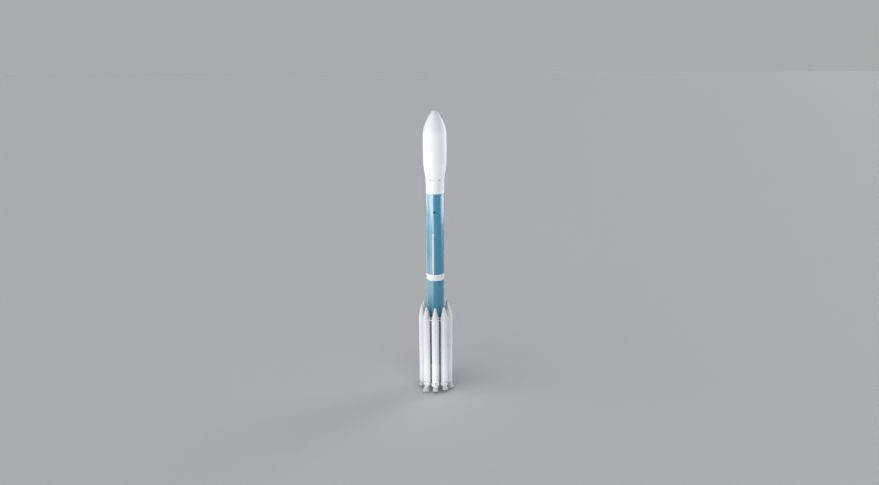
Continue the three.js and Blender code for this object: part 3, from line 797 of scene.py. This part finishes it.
def on_boosters(pattern, stem, numbers, finish, slot, node_stem=None):
    """Sets a copy of a pattern, made on the vehicle's axis, at each of these boosters."""
    for number in numbers:
        piece = named(copied(pattern), f"{stem}_{number}")
        turned_to(piece, (number - 1) * 360 / len(BOOSTERS), BOOSTER_CIRCLE)
        replaced = [f"{node_stem}_{number}"] if node_stem else []
        fitted(piece, finish, slot, "core", *replaced)
    bpy.data.objects.remove(pattern)


def canted(piece):
    """Tilts a piece made on a booster's axis as its nozzle is tilted."""
    piece.rotation_euler.y = math.radians(-NOZZLE_CANT)
    piece.location.z = CANT_HEIGHT
    return settled(piece)


case_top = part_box("booster_case_1")[1].z
case_outline = [(0, AFT_RIM_BOTTOM), (AFT_RIM_RADIUS - 0.012, AFT_RIM_BOTTOM),
                (AFT_RIM_RADIUS, AFT_RIM_BOTTOM + 0.012), (AFT_RIM_RADIUS, AFT_RIM_TOP),
                (AFT_RIM_RADIUS - 0.006, AFT_RIM_TOP + 0.012), (BOOSTER_RADIUS, AFT_FLARE_TOP)]
head_down, head_half, head_depth = HEAD_BAND
case_bands = (*CASE_BANDS, (case_top - head_down, head_half, head_depth))
case_outline += [*stepped(BOOSTER_RADIUS, case_bands, case_top), (0, case_top)]
closure_outline = [(0, -CLOSURE_BOTTOM)]
for step in range(CLOSURE_STEPS + 1):
    swing = (1 - step / CLOSURE_STEPS) * math.pi / 2
    depth = CLOSURE_SHOULDER + (CLOSURE_BOTTOM - CLOSURE_SHOULDER) * math.sin(swing)
    closure_outline.append((CLOSURE_RADIUS + CLOSURE_SWELL * math.cos(swing), -depth))
closure_outline += [(CLOSURE_RADIUS + CLOSURE_SWELL, -CLOSURE_TOP), (0, -CLOSURE_TOP)]
closure = canted(revolved("closure", closure_outline, BOOSTER_SIDES))
case = joined("case", revolved("case", case_outline, BOOSTER_SIDES), closure)
on_boosters(case, "booster_case_skin", BOOSTERS, booster_paint, "booster_white", "booster_case")

case_skin = BOOSTER_RADIUS - 0.004
raceway = block("raceway", (-0.035, case_skin, RACEWAY[0]),
                (0.035, BOOSTER_RADIUS + 0.024, RACEWAY[1]), 0.01)
clamp = block("clamp", (-0.05, case_skin, CLAMP[0]), (0.05, BOOSTER_RADIUS + 0.029, CLAMP[1]), 0.01)
rowed(clamp, CLAMPS, rise=CLAMP_PITCH)
rim_bolts = bolt_ring(AFT_RIM_RADIUS, (AFT_RIM_TOP + AFT_RIM_BOTTOM) / 2, RIM_BOLTS, 0.014)
head_bolts = bolt_ring(BOOSTER_RADIUS + head_depth, case_top - head_down, HEAD_BOLTS, 0.01)
fittings = joined("fittings", raceway, clamp, rim_bolts, head_bolts)
on_boosters(fittings, "booster_fittings", BOOSTERS, booster_paint, "booster_white")
oval_port = port("oval_port", BOOSTER_RADIUS, PORT_HEIGHT, 90, PORT_SIZE, PORT_STRETCH)
on_boosters(oval_port, "booster_port", BOOSTERS, None, "booster_white")

# Booster links
# White forgings that space the boosters apart, one half fixed to each of two neighbours. They are
# deep at the case and slim at the middle, where a pin through their knuckles joins the halves.
LINK_DEPTH = 0.13
LINK_GAP = 0.0003
NEAR = 0.001
FORWARD_LINK = (9.54, 9.73)
FORWARD_SLIM = (9.585, 9.69)
AFT_LINK = (-0.35, -0.18)
AFT_SLIM = (-0.265, -0.185)
half_step = math.pi / len(BOOSTERS)
halfway = BOOSTER_CIRCLE * math.sin(half_step) - LINK_GAP


def half_link(root, low, high, slim_low, slim_high):
    """Half a link, from inside the case's skin to the middle between two boosters."""
    deselect()
    bpy.ops.mesh.primitive_cube_add(size=1, location=((root + halfway) / 2, 0, (low + high) / 2))
    link = named(bpy.context.object, "link")
    link.scale = (halfway - root, LINK_DEPTH, high - low)
    settled(link)
    for height, rise in ((low, slim_low - low), (high, slim_high - high)):
        marked(link, "vertices",
               lambda corner: corner.co.x > halfway - NEAR and abs(corner.co.z - height) < NEAR)
        bpy.ops.transform.translate(value=(0, 0, rise))
        set_mode("OBJECT")
    softened(link, 0.008)
    knuckle_sides = [(0, slim_low - 0.004), (0.030, slim_low - 0.004), (0.034, slim_low),
                     (0.034, slim_high), (0.030, slim_high + 0.004), (0, slim_high + 0.004)]
    knuckle = revolved("knuckle", knuckle_sides, 16)
    knuckle.location.x = halfway - 0.036
    return joined("link", link, settled(knuckle))


half_links = []
for root, ends, slim in ((BOOSTER_RADIUS - 0.02, FORWARD_LINK, FORWARD_SLIM),
                         (AFT_RIM_RADIUS - 0.02, AFT_LINK, AFT_SLIM)):
    pattern = half_link(root, *ends, *slim)
    for side in (-1, 1):
        link = copied(pattern)
        link.rotation_euler.z = side * (math.pi / 2 + half_step)
        half_links.append(settled(link))
    bpy.data.objects.remove(pattern)
on_boosters(joined("links", *half_links), "booster_links", BOOSTERS, fitting_paint, "booster_white")

# Booster nose cones
# White composite cones that part the air ahead of the cases. Each is bolted to its case's
# forward ring and ends in a small round cap.
CONE_TOP = 11.45
CONE_CAP_RADIUS = 0.125
CONE_STEPS = 8
CONE_FOOT_SHARE = 0.06
CAP_STEPS = 6
CONE_BOLTS = 24
cone_low, cone_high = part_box("booster_nose_1")
cone_outline = [(0, cone_low.z), (BOOSTER_RADIUS, cone_low.z), (BOOSTER_RADIUS + 0.003, cone_low.z + 0.006),
                (BOOSTER_RADIUS + 0.003, cone_low.z + 0.05), (BOOSTER_RADIUS - 0.012, cone_low.z + 0.06)]
for step in range(CONE_STEPS + 1):
    share = CONE_FOOT_SHARE + (1 - CONE_FOOT_SHARE) * step / CONE_STEPS
    cone_outline.append((BOOSTER_RADIUS + (CONE_CAP_RADIUS - BOOSTER_RADIUS) * share,
                         cone_low.z + (CONE_TOP - cone_low.z) * share))
for step in range(1, CAP_STEPS + 1):
    swing = math.radians(90 / CAP_STEPS * step)
    cone_outline.append((CONE_CAP_RADIUS * math.cos(swing),
                         CONE_TOP + (cone_high.z - CONE_TOP) * math.sin(swing)))
cone_outline[-1] = (0, cone_high.z)
cone = revolved("cone", cone_outline, BOOSTER_SIDES)
cone_bolts = bolt_ring(BOOSTER_RADIUS + 0.002, cone_low.z + 0.028, CONE_BOLTS, 0.01)
on_boosters(joined("cone", cone, cone_bolts), "booster_nose_skin", BOOSTERS, booster_paint,
            "booster_white", "booster_nose")

# Booster nozzles
# Canted outward, so that their thrust passes near the vehicle's centre. Each is a wound shell
# in white insulation with raised wraps, lined with dark charring material down from the throat.
AIR_LIT = (3, 6, 9)
GROUND_LIT_SIZE = (0.435, 1.215)
AIR_LIT_SIZE = (0.530, 1.555)
NOZZLE_NECK = 0.66
NECK_RADIUS = 0.295
THROAT_RADIUS = 0.105
NOZZLE_WALL = 0.028
NOZZLE_STEPS = 14
WRAP_STEPS = (4, 8, 12)
WRAP_DEPTH = 0.007
nozzle_paint = painted("nozzle_insulation", (0.76, 0.745, 0.775), (0.50, 0.48, 0.47), 0.3, 0.35, 0.55, 0.8)
# Dark charring lining inside the bell. The same paint on the disc that closes the throat is painted shade
# of the bore above it.
lining_and_throat_shade = painted("lining_and_throat_shade", (0.035, 0.033, 0.032), (0.09, 0.085, 0.08), 0.4, 0.5, 0.6, 0.9)


def outward(face):
    """How far a face of a round piece looks out from the axis."""
    return face.center.x * face.normal.x + face.center.y * face.normal.y


def nozzle(exit_radius, depth):
    """A nozzle below the point that it is canted about, insulated outside and lined dark inside, with a
    disc painted dark as shade where its throat is closed.
    """
    outside = [(0.27, -0.585), (0.33, -0.59), (0.33, -0.63), (0.305, -0.64)]
    inside = []
    for step in range(NOZZLE_STEPS + 1):
        share = step / NOZZLE_STEPS
        height = -(NOZZLE_NECK + (depth - NOZZLE_NECK) * share)
        radius = NECK_RADIUS + (exit_radius - NECK_RADIUS) * share ** 1.15
        if step in WRAP_STEPS:
            outside += [(radius, height + 0.016), (radius + WRAP_DEPTH, height + 0.012),
                        (radius + WRAP_DEPTH, height - 0.012), (radius, height - 0.016)]
        else:
            outside.append((radius, height))
        inside.append((THROAT_RADIUS + (exit_radius - NOZZLE_WALL - THROAT_RADIUS) * share ** 0.75, height))
    roof = -NOZZLE_NECK + 0.03
    outline = [(0, -0.585), *outside, *reversed(inside), (0.07, roof), (0, roof)]
    piece = revolved("nozzle", outline, BOOSTER_SIDES)
    # Faces looking in take the dark lining. The downward faces near the axis close the throat and are
    # painted shade.
    two_finishes(piece, nozzle_paint, lining_and_throat_shade, lambda face: outward(face) < -0.001
                 or face.center.xy.length < THROAT_RADIUS and face.normal.z < 0)
    return canted(piece)


ground_lit = [number for number in BOOSTERS if number not in AIR_LIT]
for size, numbers in ((GROUND_LIT_SIZE, ground_lit), (AIR_LIT_SIZE, AIR_LIT)):
    on_boosters(nozzle(*size), "booster_nozzle_shell", numbers, None, "nozzle_white", "booster_nozzle")

# Payload adapter
# A machined aluminium cone bolted to the top of the upper skirt. The payload stands on its top
# ring, held by a clamp band until it is let go.
TOP_RADIUS = 0.80
FOOT_BOLTS = 48
ADAPTER_RIBS = 24
CLAMP_SHOES = 36
adapter_metal = painted("adapter_metal", (0.58, 0.56, 0.42), (0.45, 0.42, 0.30), 0.2, 0.4, 0.32, 0.5,
                        metal=0.6)
adapter_low, adapter_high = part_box("payload_adapter")
foot_radius = adapter_high.x
foot, head = adapter_low.z, adapter_high.z
adapter_outline = [(0, foot), (foot_radius, foot), (foot_radius, foot + 0.025),
                   (foot_radius - 0.05, foot + 0.03), (foot_radius - 0.05, foot + 0.09),
                   (TOP_RADIUS + 0.01, head - 0.13), (TOP_RADIUS - 0.02, head - 0.11),
                   (TOP_RADIUS - 0.02, head - 0.07), (TOP_RADIUS, head - 0.05), (TOP_RADIUS, head),
                   (TOP_RADIUS - 0.06, head), (TOP_RADIUS - 0.07, head - 0.02), (0, head - 0.02)]
adapter = revolved("adapter", adapter_outline)
foot_bolt = bolt((foot_radius - 0.025, 0, foot + 0.025), (0, 0, 1))
foot_bolts = rowed(foot_bolt, FOOT_BOLTS, turn=360 / FOOT_BOLTS)
rib = bar("rib", TOP_RADIUS - 0.08, foot_radius - 0.03, 0.016, foot + 0.12, foot + 0.2)
rowed(rib, ADAPTER_RIBS, turn=360 / ADAPTER_RIBS)
clamp_shoe = bar("shoe", TOP_RADIUS - 0.012, TOP_RADIUS + 0.012, 0.09, head - 0.048, head - 0.006, 0.005)
rowed(clamp_shoe, CLAMP_SHOES, turn=360 / CLAMP_SHOES)
fitted(joined("payload_adapter_detail", adapter, foot_bolts, rib, clamp_shoe), adapter_metal,
       "adapter_metal", "core", "payload_adapter")

# Payload fairing
# Two half shells of painted sandwich panel round the payload, split at the front and back. Each
# has a round cap, a curved nose, a barrel and a boat tail, with frames and blankets inside.
FAIRING_RADIUS = 1.524
FAIRING_WALL = 0.038
BOAT_TAIL_TOP = 31.15
NOSE_BASE = 35.0
NOSE_CAP_RADIUS = 0.46
NOSE_CAP_HEIGHT = 0.166
NOSE_OVERRUN = 0.1458
HALF_SEAM = 0.003
NOSE_STATIONS = 22
RAIL_SWEEP = 2.4
RAIL_DEPTH = 0.006
VENT_RISE = 0.17
VENT_TURN = 62
VENT_SIZE = 0.15
VENT_STRETCH = 0.35
FRAME_STATIONS = (31.9, 32.9, 33.9)
SHELL_DOOR = (32.1, 32.7)
RAIL_BOLTS = 19
RAIL_PITCH = 0.19
BASE_BOLTS = 30
fairing_paint = painted("fairing_paint", (0.78, 0.79, 0.81), (0.70, 0.71, 0.72), 0.15, 0.2, 0.5, 0.65,
                        coat=0.05)
blanket = painted("acoustic_blanket", (0.70, 0.69, 0.66), (0.55, 0.54, 0.50), 0.1, 0.4, 0.8, 0.95)
half_low, half_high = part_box("fairing_half_right")
base, tip = half_low.z, half_high.z
vent_radius = core_radius + (FAIRING_RADIUS - core_radius) * VENT_RISE / (BOAT_TAIL_TOP - base) + 0.004


def nose_radius(below):
    """Radius of the nose by distance below the tip: a round cap, then a curve of least drag."""
    if below <= NOSE_CAP_HEIGHT:
        return math.sqrt(2 * NOSE_CAP_RADIUS * below - below * below)
    angle = math.acos(1 - 2 * (below + NOSE_OVERRUN) / (tip - NOSE_BASE + NOSE_OVERRUN))
    return FAIRING_RADIUS * math.sqrt((angle - math.sin(2 * angle) / 2) / math.pi)


nose_length = tip - NOSE_BASE
nose = [nose_length - (nose_length - NOSE_CAP_HEIGHT) * step / NOSE_STATIONS
        for step in range(NOSE_STATIONS + 1)]
cap = [NOSE_CAP_HEIGHT * (1 - step / 8) ** 2 for step in range(1, 8)]
smooth_line = [(core_radius, base), (FAIRING_RADIUS, BOAT_TAIL_TOP)]
smooth_line += [(nose_radius(below), tip - below) for below in nose + cap]
barrel_bands = [(BOAT_TAIL_TOP + 0.04, 0.04, 0.005), (NOSE_BASE - 0.04, 0.04, 0.005)]
outer = [(core_radius, base), (core_radius + 0.008, base + 0.004), (core_radius + 0.008, base + 0.07),
         (core_radius + 0.0095, base + 0.078), *stepped(FAIRING_RADIUS, barrel_bands, NOSE_BASE)]
outer += [(nose_radius(below), tip - below) for below in nose[1:]]
outer += [(nose_radius(NOSE_CAP_HEIGHT) + 0.002, tip - NOSE_CAP_HEIGHT + 0.002)]
outer += [(nose_radius(below) + 0.002, tip - below) for below in cap] + [(0, tip)]
inner = [(radius - FAIRING_WALL, height - FAIRING_WALL / 3)
         for radius, height in smooth_line[2:] if radius > 0.3]
inner_wall = [(core_radius - FAIRING_WALL, base), (FAIRING_RADIUS - FAIRING_WALL, BOAT_TAIL_TOP)]
for height in FRAME_STATIONS:
    inside = FAIRING_RADIUS - FAIRING_WALL
    inner_wall += [(inside, height - 0.02), (inside - 0.04, height - 0.02), (inside - 0.04, height + 0.02),
                   (inside, height + 0.02)]
shell_outline = outer + [(0, tip - NOSE_CAP_HEIGHT / 2)] + list(reversed(inner_wall + inner))
for side, azimuth in (("right", 90), ("left", -90)):
    shell = revolved(f"fairing_shell_{side}", [*shell_outline, shell_outline[0]], 48, 180, azimuth)
    two_finishes(shell, fairing_paint, blanket,
                 lambda face: outward(face) < 0 and abs(face.normal.x) < 0.999)
    shell.location.x = HALF_SEAM if side == "right" else -HALF_SEAM
    settled(shell)
    fitted(shell, None, "fairing_white", f"fairing_{side}", f"fairing_half_{side}")

    trim = []
    for edge in (-1, 1):
        beside_seam = azimuth + edge * (90 - RAIL_SWEEP / 2 - 0.1)
        rail_line = [(radius + RAIL_DEPTH, height) for radius, height in smooth_line if height < tip - 0.4]
        rail_back = [(radius - 0.004, height) for radius, height in reversed(rail_line)]
        trim.append(revolved("rail", [*rail_line, *rail_back, rail_line[0]], 2, RAIL_SWEEP, beside_seam))
        rail_bolt = bolt((FAIRING_RADIUS + RAIL_DEPTH, 0, BOAT_TAIL_TOP + 0.2), size=0.009)
        trim.append(turned_to(rowed(rail_bolt, RAIL_BOLTS, rise=RAIL_PITCH), beside_seam))
    base_bolts = rowed(bolt((core_radius + 0.008, 0, base + 0.037)), BASE_BOLTS, turn=180 / BASE_BOLTS)
    trim.append(turned_to(base_bolts, azimuth - 87))
    trim.append(hatch("door", FAIRING_RADIUS, *SHELL_DOOR, azimuth - 38, 0.5))
    fitted(joined(f"fairing_trim_{side}", *trim), fairing_paint, "fairing_white", f"fairing_{side}")
    vents = [port("vent", vent_radius, base + VENT_RISE, azimuth + turn, VENT_SIZE, VENT_STRETCH)
             for turn in (-VENT_TURN, VENT_TURN)]
    fitted(joined(f"fairing_vents_{side}", *vents), None, "fairing_white", f"fairing_{side}")

# Thrust frame
# A round aluminium plate in the top of the skirt that takes the engine's thrust. Deep beams
# under it run from the engine's ears to the skirt, with a ring between them.
FRAME_PLATE = 0.07
BEAMS = 12
BEAM_START = 0.33
HOOP_RADII = (0.62, 0.65)
machined = painted("machined_metal", (0.55, 0.56, 0.57), (0.36, 0.35, 0.33), 0.3, 0.3, 0.35, 0.6,
                   metal=0.7)
plate_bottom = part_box("thrust_frame")[1].z - FRAME_PLATE
under_plate, beam_end = plate_bottom + 0.002, skirt_inside - 0.004
beam_web = bar("web", BEAM_START, beam_end, 0.024, plate_bottom - 0.15, under_plate)
beam_foot = bar("foot", BEAM_START, beam_end, 0.1, plate_bottom - 0.165, plate_bottom - 0.148)
beams = rowed(joined("beams", beam_web, beam_foot), BEAMS, turn=360 / BEAMS)
hoop_in, hoop_out = HOOP_RADII
hoop_sides = [(hoop_in, plate_bottom - 0.12), (hoop_out, plate_bottom - 0.12), (hoop_out, under_plate),
              (hoop_in, under_plate)]
hoop = revolved("hoop", [*hoop_sides, hoop_sides[0]])
fitted(joined("thrust_frame_beams", beams, hoop), machined, "bare_metal", "core")

# Main engine
# A steel chamber and a tube-wall bell, hung on a cross with two pins so that it tilts both ways.
# A pump and its gas generator ride beside the chamber, and a duct carries their exhaust down.
GIMBAL_HEIGHT = 2.30
THROAT_HEIGHT = 1.25
BELL_EXIT = -1.10
ENGINE_THROAT = 0.225
BELL_RADIUS = 0.725
BELL_CURVE = 0.6
BELL_WALL = 0.02
BELL_STATIONS = 30
BELL_BANDS = (12, 17, 21, 25, 28)
CHAMBER_RADIUS = 0.29
CHAMBER_TOP = 2.12
CHAMBER_SHOULDER = 1.96
CHAMBER_BANDS = ((1.55, 0.025, 0.015), (1.70, 0.025, 0.015), (1.88, 0.045, 0.02))
DOME_STEPS = 6
PUMP_OFFSET = 0.56
DUCT_RADIUS = 0.085
DUCT_ROUTE = ((0.26, 1.62), (0.43, 1.60), (0.56, 1.42), (0.64, 0.90), (0.735, 0.10), (0.85, -0.90))
DUCT_COLLARS = ((0.33, 1.618, (0, 1, -0.05)), (0.598, 1.22, (0, 0.12, -1)), (0.66, 0.75, (0, 0.12, -1)),
                (0.80, -0.45, (0, 0.12, -1)), (0.846, -0.87, (0, 0.11, -1)))
PUMP_OUTLINE = ((0, 1.33), (0.13, 1.33), (0.15, 1.345), (0.15, 1.37), (0.125, 1.385), (0.125, 1.48),
                (0.17, 1.50), (0.205, 1.55), (0.205, 1.63), (0.185, 1.645), (0.185, 1.665), (0.205, 1.68),
                (0.205, 1.73), (0.17, 1.775), (0.12, 1.79), (0.12, 1.83), (0.135, 1.84), (0.135, 1.86),
                (0.12, 1.87), (0.12, 1.95), (0.135, 1.96), (0.135, 1.98), (0.1, 2.0), (0, 2.0))
PUMP_ARMS = ((1.565, 1.645), (1.865, 1.945))
FEEDS = ((0.035, ((0.12, -0.60, 1.70), (0.27, -0.62, 1.78), (0.31, -0.45, 1.90), (0.20, -0.22, 2.00))),
         (0.035, ((-0.12, -0.60, 1.55), (-0.28, -0.60, 1.50), (-0.34, -0.40, 1.46), (-0.23, -0.16, 1.42))),
         (0.015, ((0.05, -0.66, 1.38), (0.16, -0.74, 1.40), (0.24, -0.62, 1.46), (0.25, -0.30, 1.55),
                  (0.22, -0.16, 1.60))))
BELL_TUBES = 180
engine_metal = painted("engine_metal", (0.46, 0.43, 0.40), (0.27, 0.21, 0.16), 0.5, 0.4, 0.35, 0.6,
                       metal=0.7)
tube_wall = painted("tube_wall", (0.44, 0.40, 0.36), (0.30, 0.22, 0.16), 0.4, 0.5, 0.34, 0.55,
                    metal=0.7)
tube_tree = tube_wall.node_tree
tube_place = added(tube_tree, "ShaderNodeTexCoord").outputs["Object"]
tube_axes = added(tube_tree, "ShaderNodeSeparateXYZ", {0: tube_place}).outputs
tube_angle = worked(tube_tree, "ARCTAN2", tube_axes[1], tube_axes[0])
tube_wave = worked(tube_tree, "SINE", worked(tube_tree, "MULTIPLY", tube_angle, BELL_TUBES / 2))
tubes = worked(tube_tree, "MULTIPLY", worked(tube_tree, "ABSOLUTE", tube_wave), 2.5)
tube_bump = tube_tree.nodes["Bump"]
grain = tube_bump.inputs["Height"].links[0].from_socket
tube_tree.links.new(worked(tube_tree, "ADD", grain, tubes), tube_bump.inputs["Height"])


def bell_radius(height):
    share = (THROAT_HEIGHT - height) / (THROAT_HEIGHT - BELL_EXIT)
    return ENGINE_THROAT + (BELL_RADIUS - ENGINE_THROAT) * share ** BELL_CURVE


bell_outside = []
bell_inside = []
for station in range(BELL_STATIONS + 1):
    height = THROAT_HEIGHT + (BELL_EXIT - THROAT_HEIGHT) * (station / BELL_STATIONS) ** 1.3
    radius = bell_radius(height)
    if station in BELL_BANDS:
        bell_outside += [(radius, height + 0.02), (radius + 0.014, height + 0.012),
                         (radius + 0.014, height - 0.012), (radius, height - 0.02)]
    else:
        bell_outside.append((radius, height))
    bell_inside.append((radius - BELL_WALL, height))
bell_outline = bell_outside + list(reversed(bell_inside))
bell = revolved("engine_bell_shell", [*bell_outline, bell_outline[0]])
fitted(bell, tube_wall, "engine_metal", "main_engine", "engine_bell")

flange_radius, barrel_radius = ENGINE_THROAT + 0.03, CHAMBER_RADIUS - 0.02
chamber_outline = [(0, THROAT_HEIGHT), (ENGINE_THROAT - 0.01, THROAT_HEIGHT),
                   (flange_radius, THROAT_HEIGHT + 0.01), (flange_radius, THROAT_HEIGHT + 0.05),
                   (ENGINE_THROAT, THROAT_HEIGHT + 0.06), (barrel_radius, THROAT_HEIGHT + 0.24),
                   *stepped(barrel_radius, CHAMBER_BANDS, CHAMBER_SHOULDER)]
for step in range(1, DOME_STEPS + 1):
    swing = step / DOME_STEPS * math.pi / 2
    chamber_outline.append((barrel_radius * math.cos(swing),
                            CHAMBER_SHOULDER + (CHAMBER_TOP - CHAMBER_SHOULDER) * math.sin(swing)))
chamber = revolved("chamber", chamber_outline)
ears = []
for side in (-1, 1):
    near, far = sorted((side * 0.13, side * 0.20))
    ears.append(block("ear", (-0.07, near, CHAMBER_TOP - 0.1), (0.07, far, GIMBAL_HEIGHT + 0.072), 0.02))
    boss_sides = [(0.046, -0.04), (0.07, -0.04), (0.07, 0.04), (0.046, 0.04), (0.046, -0.04)]
    boss = revolved("boss", boss_sides, 24)
    ears.append(aimed(boss, (0, side * 0.165, GIMBAL_HEIGHT), (0, side, 0)))
fitted(joined("thrust_chamber_detail", chamber, *ears), engine_metal, "engine_metal", "main_engine",
       "thrust_chamber")

hub = block("hub", (-0.07, -0.07, -0.07), (0.07, 0.07, 0.07), 0.015)
pins = [hub]
for facing in ((1, 0, 0), (-1, 0, 0), (0, 1, 0), (0, -1, 0)):
    pin = revolved("pin", [(0, 0.06), (0.05, 0.06), (0.05, 0.075), (0.039, 0.08), (0.039, 0.205),
                           (0.033, 0.21), (0, 0.21)], 24)
    pins.append(aimed(pin, (0, 0, 0), facing))
cross = joined("gimbal_cross_detail", *pins)
cross.location.z = GIMBAL_HEIGHT
fitted(settled(cross), machined, "bare_metal", "gimbal_cross", "gimbal_cross")

pump = revolved("pump", PUMP_OUTLINE, 48)
pump.location.y = -PUMP_OFFSET
settled(pump)
arms = [block("arm", (-0.055, -PUMP_OFFSET + 0.05, low), (0.055, -CHAMBER_RADIUS + 0.03, high), 0.012)
        for low, high in PUMP_ARMS]


def pipe(name, route, radius):
    """A bent pipe through the points of its route."""
    deselect()
    bpy.ops.curve.primitive_bezier_curve_add()
    run = bpy.context.object
    spline = run.data.splines[0]
    spline.bezier_points.add(len(route) - 2)
    for point, place in zip(spline.bezier_points, route):
        point.co = place
        point.handle_left_type = "AUTO"
        point.handle_right_type = "AUTO"
    run.data.bevel_depth = radius
    run.data.bevel_resolution = 6
    run.data.resolution_u = 10
    run.data.use_fill_caps = True
    bpy.ops.object.convert(target="MESH")
    piece = named(bpy.context.object, name)
    set_mode("EDIT")
    welded()
    return smoothed(piece)


def collar(place, facing, radius, half):
    """A bolted flange round a pipe."""
    sides = [(radius * 0.7, -half), (radius * 1.35, -half), (radius * 1.35, half), (radius * 0.7, half)]
    return aimed(softened(revolved("collar", [*sides, sides[0]], 24), half * 0.3), place, facing)


feeds = [pipe("feed", route, radius) for radius, route in FEEDS]
generator = revolved("generator", [(0, -0.12), (0.05, -0.12), (0.09, -0.06), (0.095, 0.0), (0.09, 0.06),
                                   (0.05, 0.11), (0.05, 0.14), (0, 0.14)], 32)
aimed(generator, (-0.22, -0.62, 1.72), (0.25, 0, 1))
fitted(joined("turbopump_detail", pump, *arms, *feeds, generator), engine_metal, "engine_metal",
       "main_engine", "turbopump")

duct = pipe("duct", [(0, distance, height) for distance, height in DUCT_ROUTE], DUCT_RADIUS - 0.004)
collars = [collar((0, distance, height), facing, DUCT_RADIUS * 0.85, 0.014)
           for distance, height, facing in DUCT_COLLARS]
fitted(joined("exhaust_duct_detail", duct, *collars), engine_metal, "engine_metal", "main_engine",
       "exhaust_duct")

# Vernier engines
# Two small engines that swing on pins along the skirt's radius and steer the vehicle's roll.
# Each is a turned chamber and bell with raised bands, below a round head.
VERNIER_CIRCLE = 1.0
VERNIER_HEIGHT = 0.40
VERNIER_HEAD = VERNIER_HEIGHT - 0.03
VERNIER_OUTSIDE = ((0.028, VERNIER_HEAD), (0.03, 0.36), (0.066, 0.335), (0.071, 0.325), (0.071, 0.305),
                   (0.062, 0.30), (0.062, 0.16), (0.055, 0.13), (0.042, 0.09), (0.040, 0.07), (0.046, 0.05),
                   (0.062, 0.0), (0.068, -0.015), (0.071, -0.017), (0.073, -0.033), (0.074, -0.035),
                   (0.085, -0.075), (0.098, -0.125), (0.104, -0.128), (0.105, -0.15))
VERNIER_INSIDE = ((0.097, -0.15), (0.092, -0.125), (0.080, -0.075), (0.066, -0.03), (0.052, 0.01),
                  (0.036, 0.05), (0.028, 0.07), (0, 0.075))
HEAD_OUTLINE = ((0, -0.066), (0.034, -0.066), (0.038, -0.06), (0.038, 0.06), (0.034, 0.066), (0, 0.066))
AXLE_OUTLINE = ((0, -0.10), (0.016, -0.10), (0.0195, -0.096), (0.0195, 0.096), (0.016, 0.10), (0, 0.10))
for side, azimuth in (("left", -90), ("right", 90)):
    thruster = revolved("thruster", [(0, VERNIER_HEAD), *VERNIER_OUTSIDE, *VERNIER_INSIDE], 32)
    head = revolved("head", HEAD_OUTLINE, 32)
    axle = revolved("axle", AXLE_OUTLINE, 24)
    for part in (head, axle):
        aimed(part, (0, 0, VERNIER_HEIGHT), (1, 0, 0))
    engine = turned_to(joined(f"vernier_{side}_detail", thruster, head, axle), azimuth, VERNIER_CIRCLE)
    fitted(engine, engine_metal, "engine_metal", f"vernier_{side}", f"vernier_engine_{side}")

# Fittings whose solids stay
# The brackets that hold the verniers and the thrust plate are machined metal. Their solids
# already have the real shape, so only their finish is set.
for node in ("vernier_mount_left", "vernier_mount_right", "thrust_frame"):
    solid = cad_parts[node]
    solid.data.materials.clear()
    solid.data.materials.append(machined)
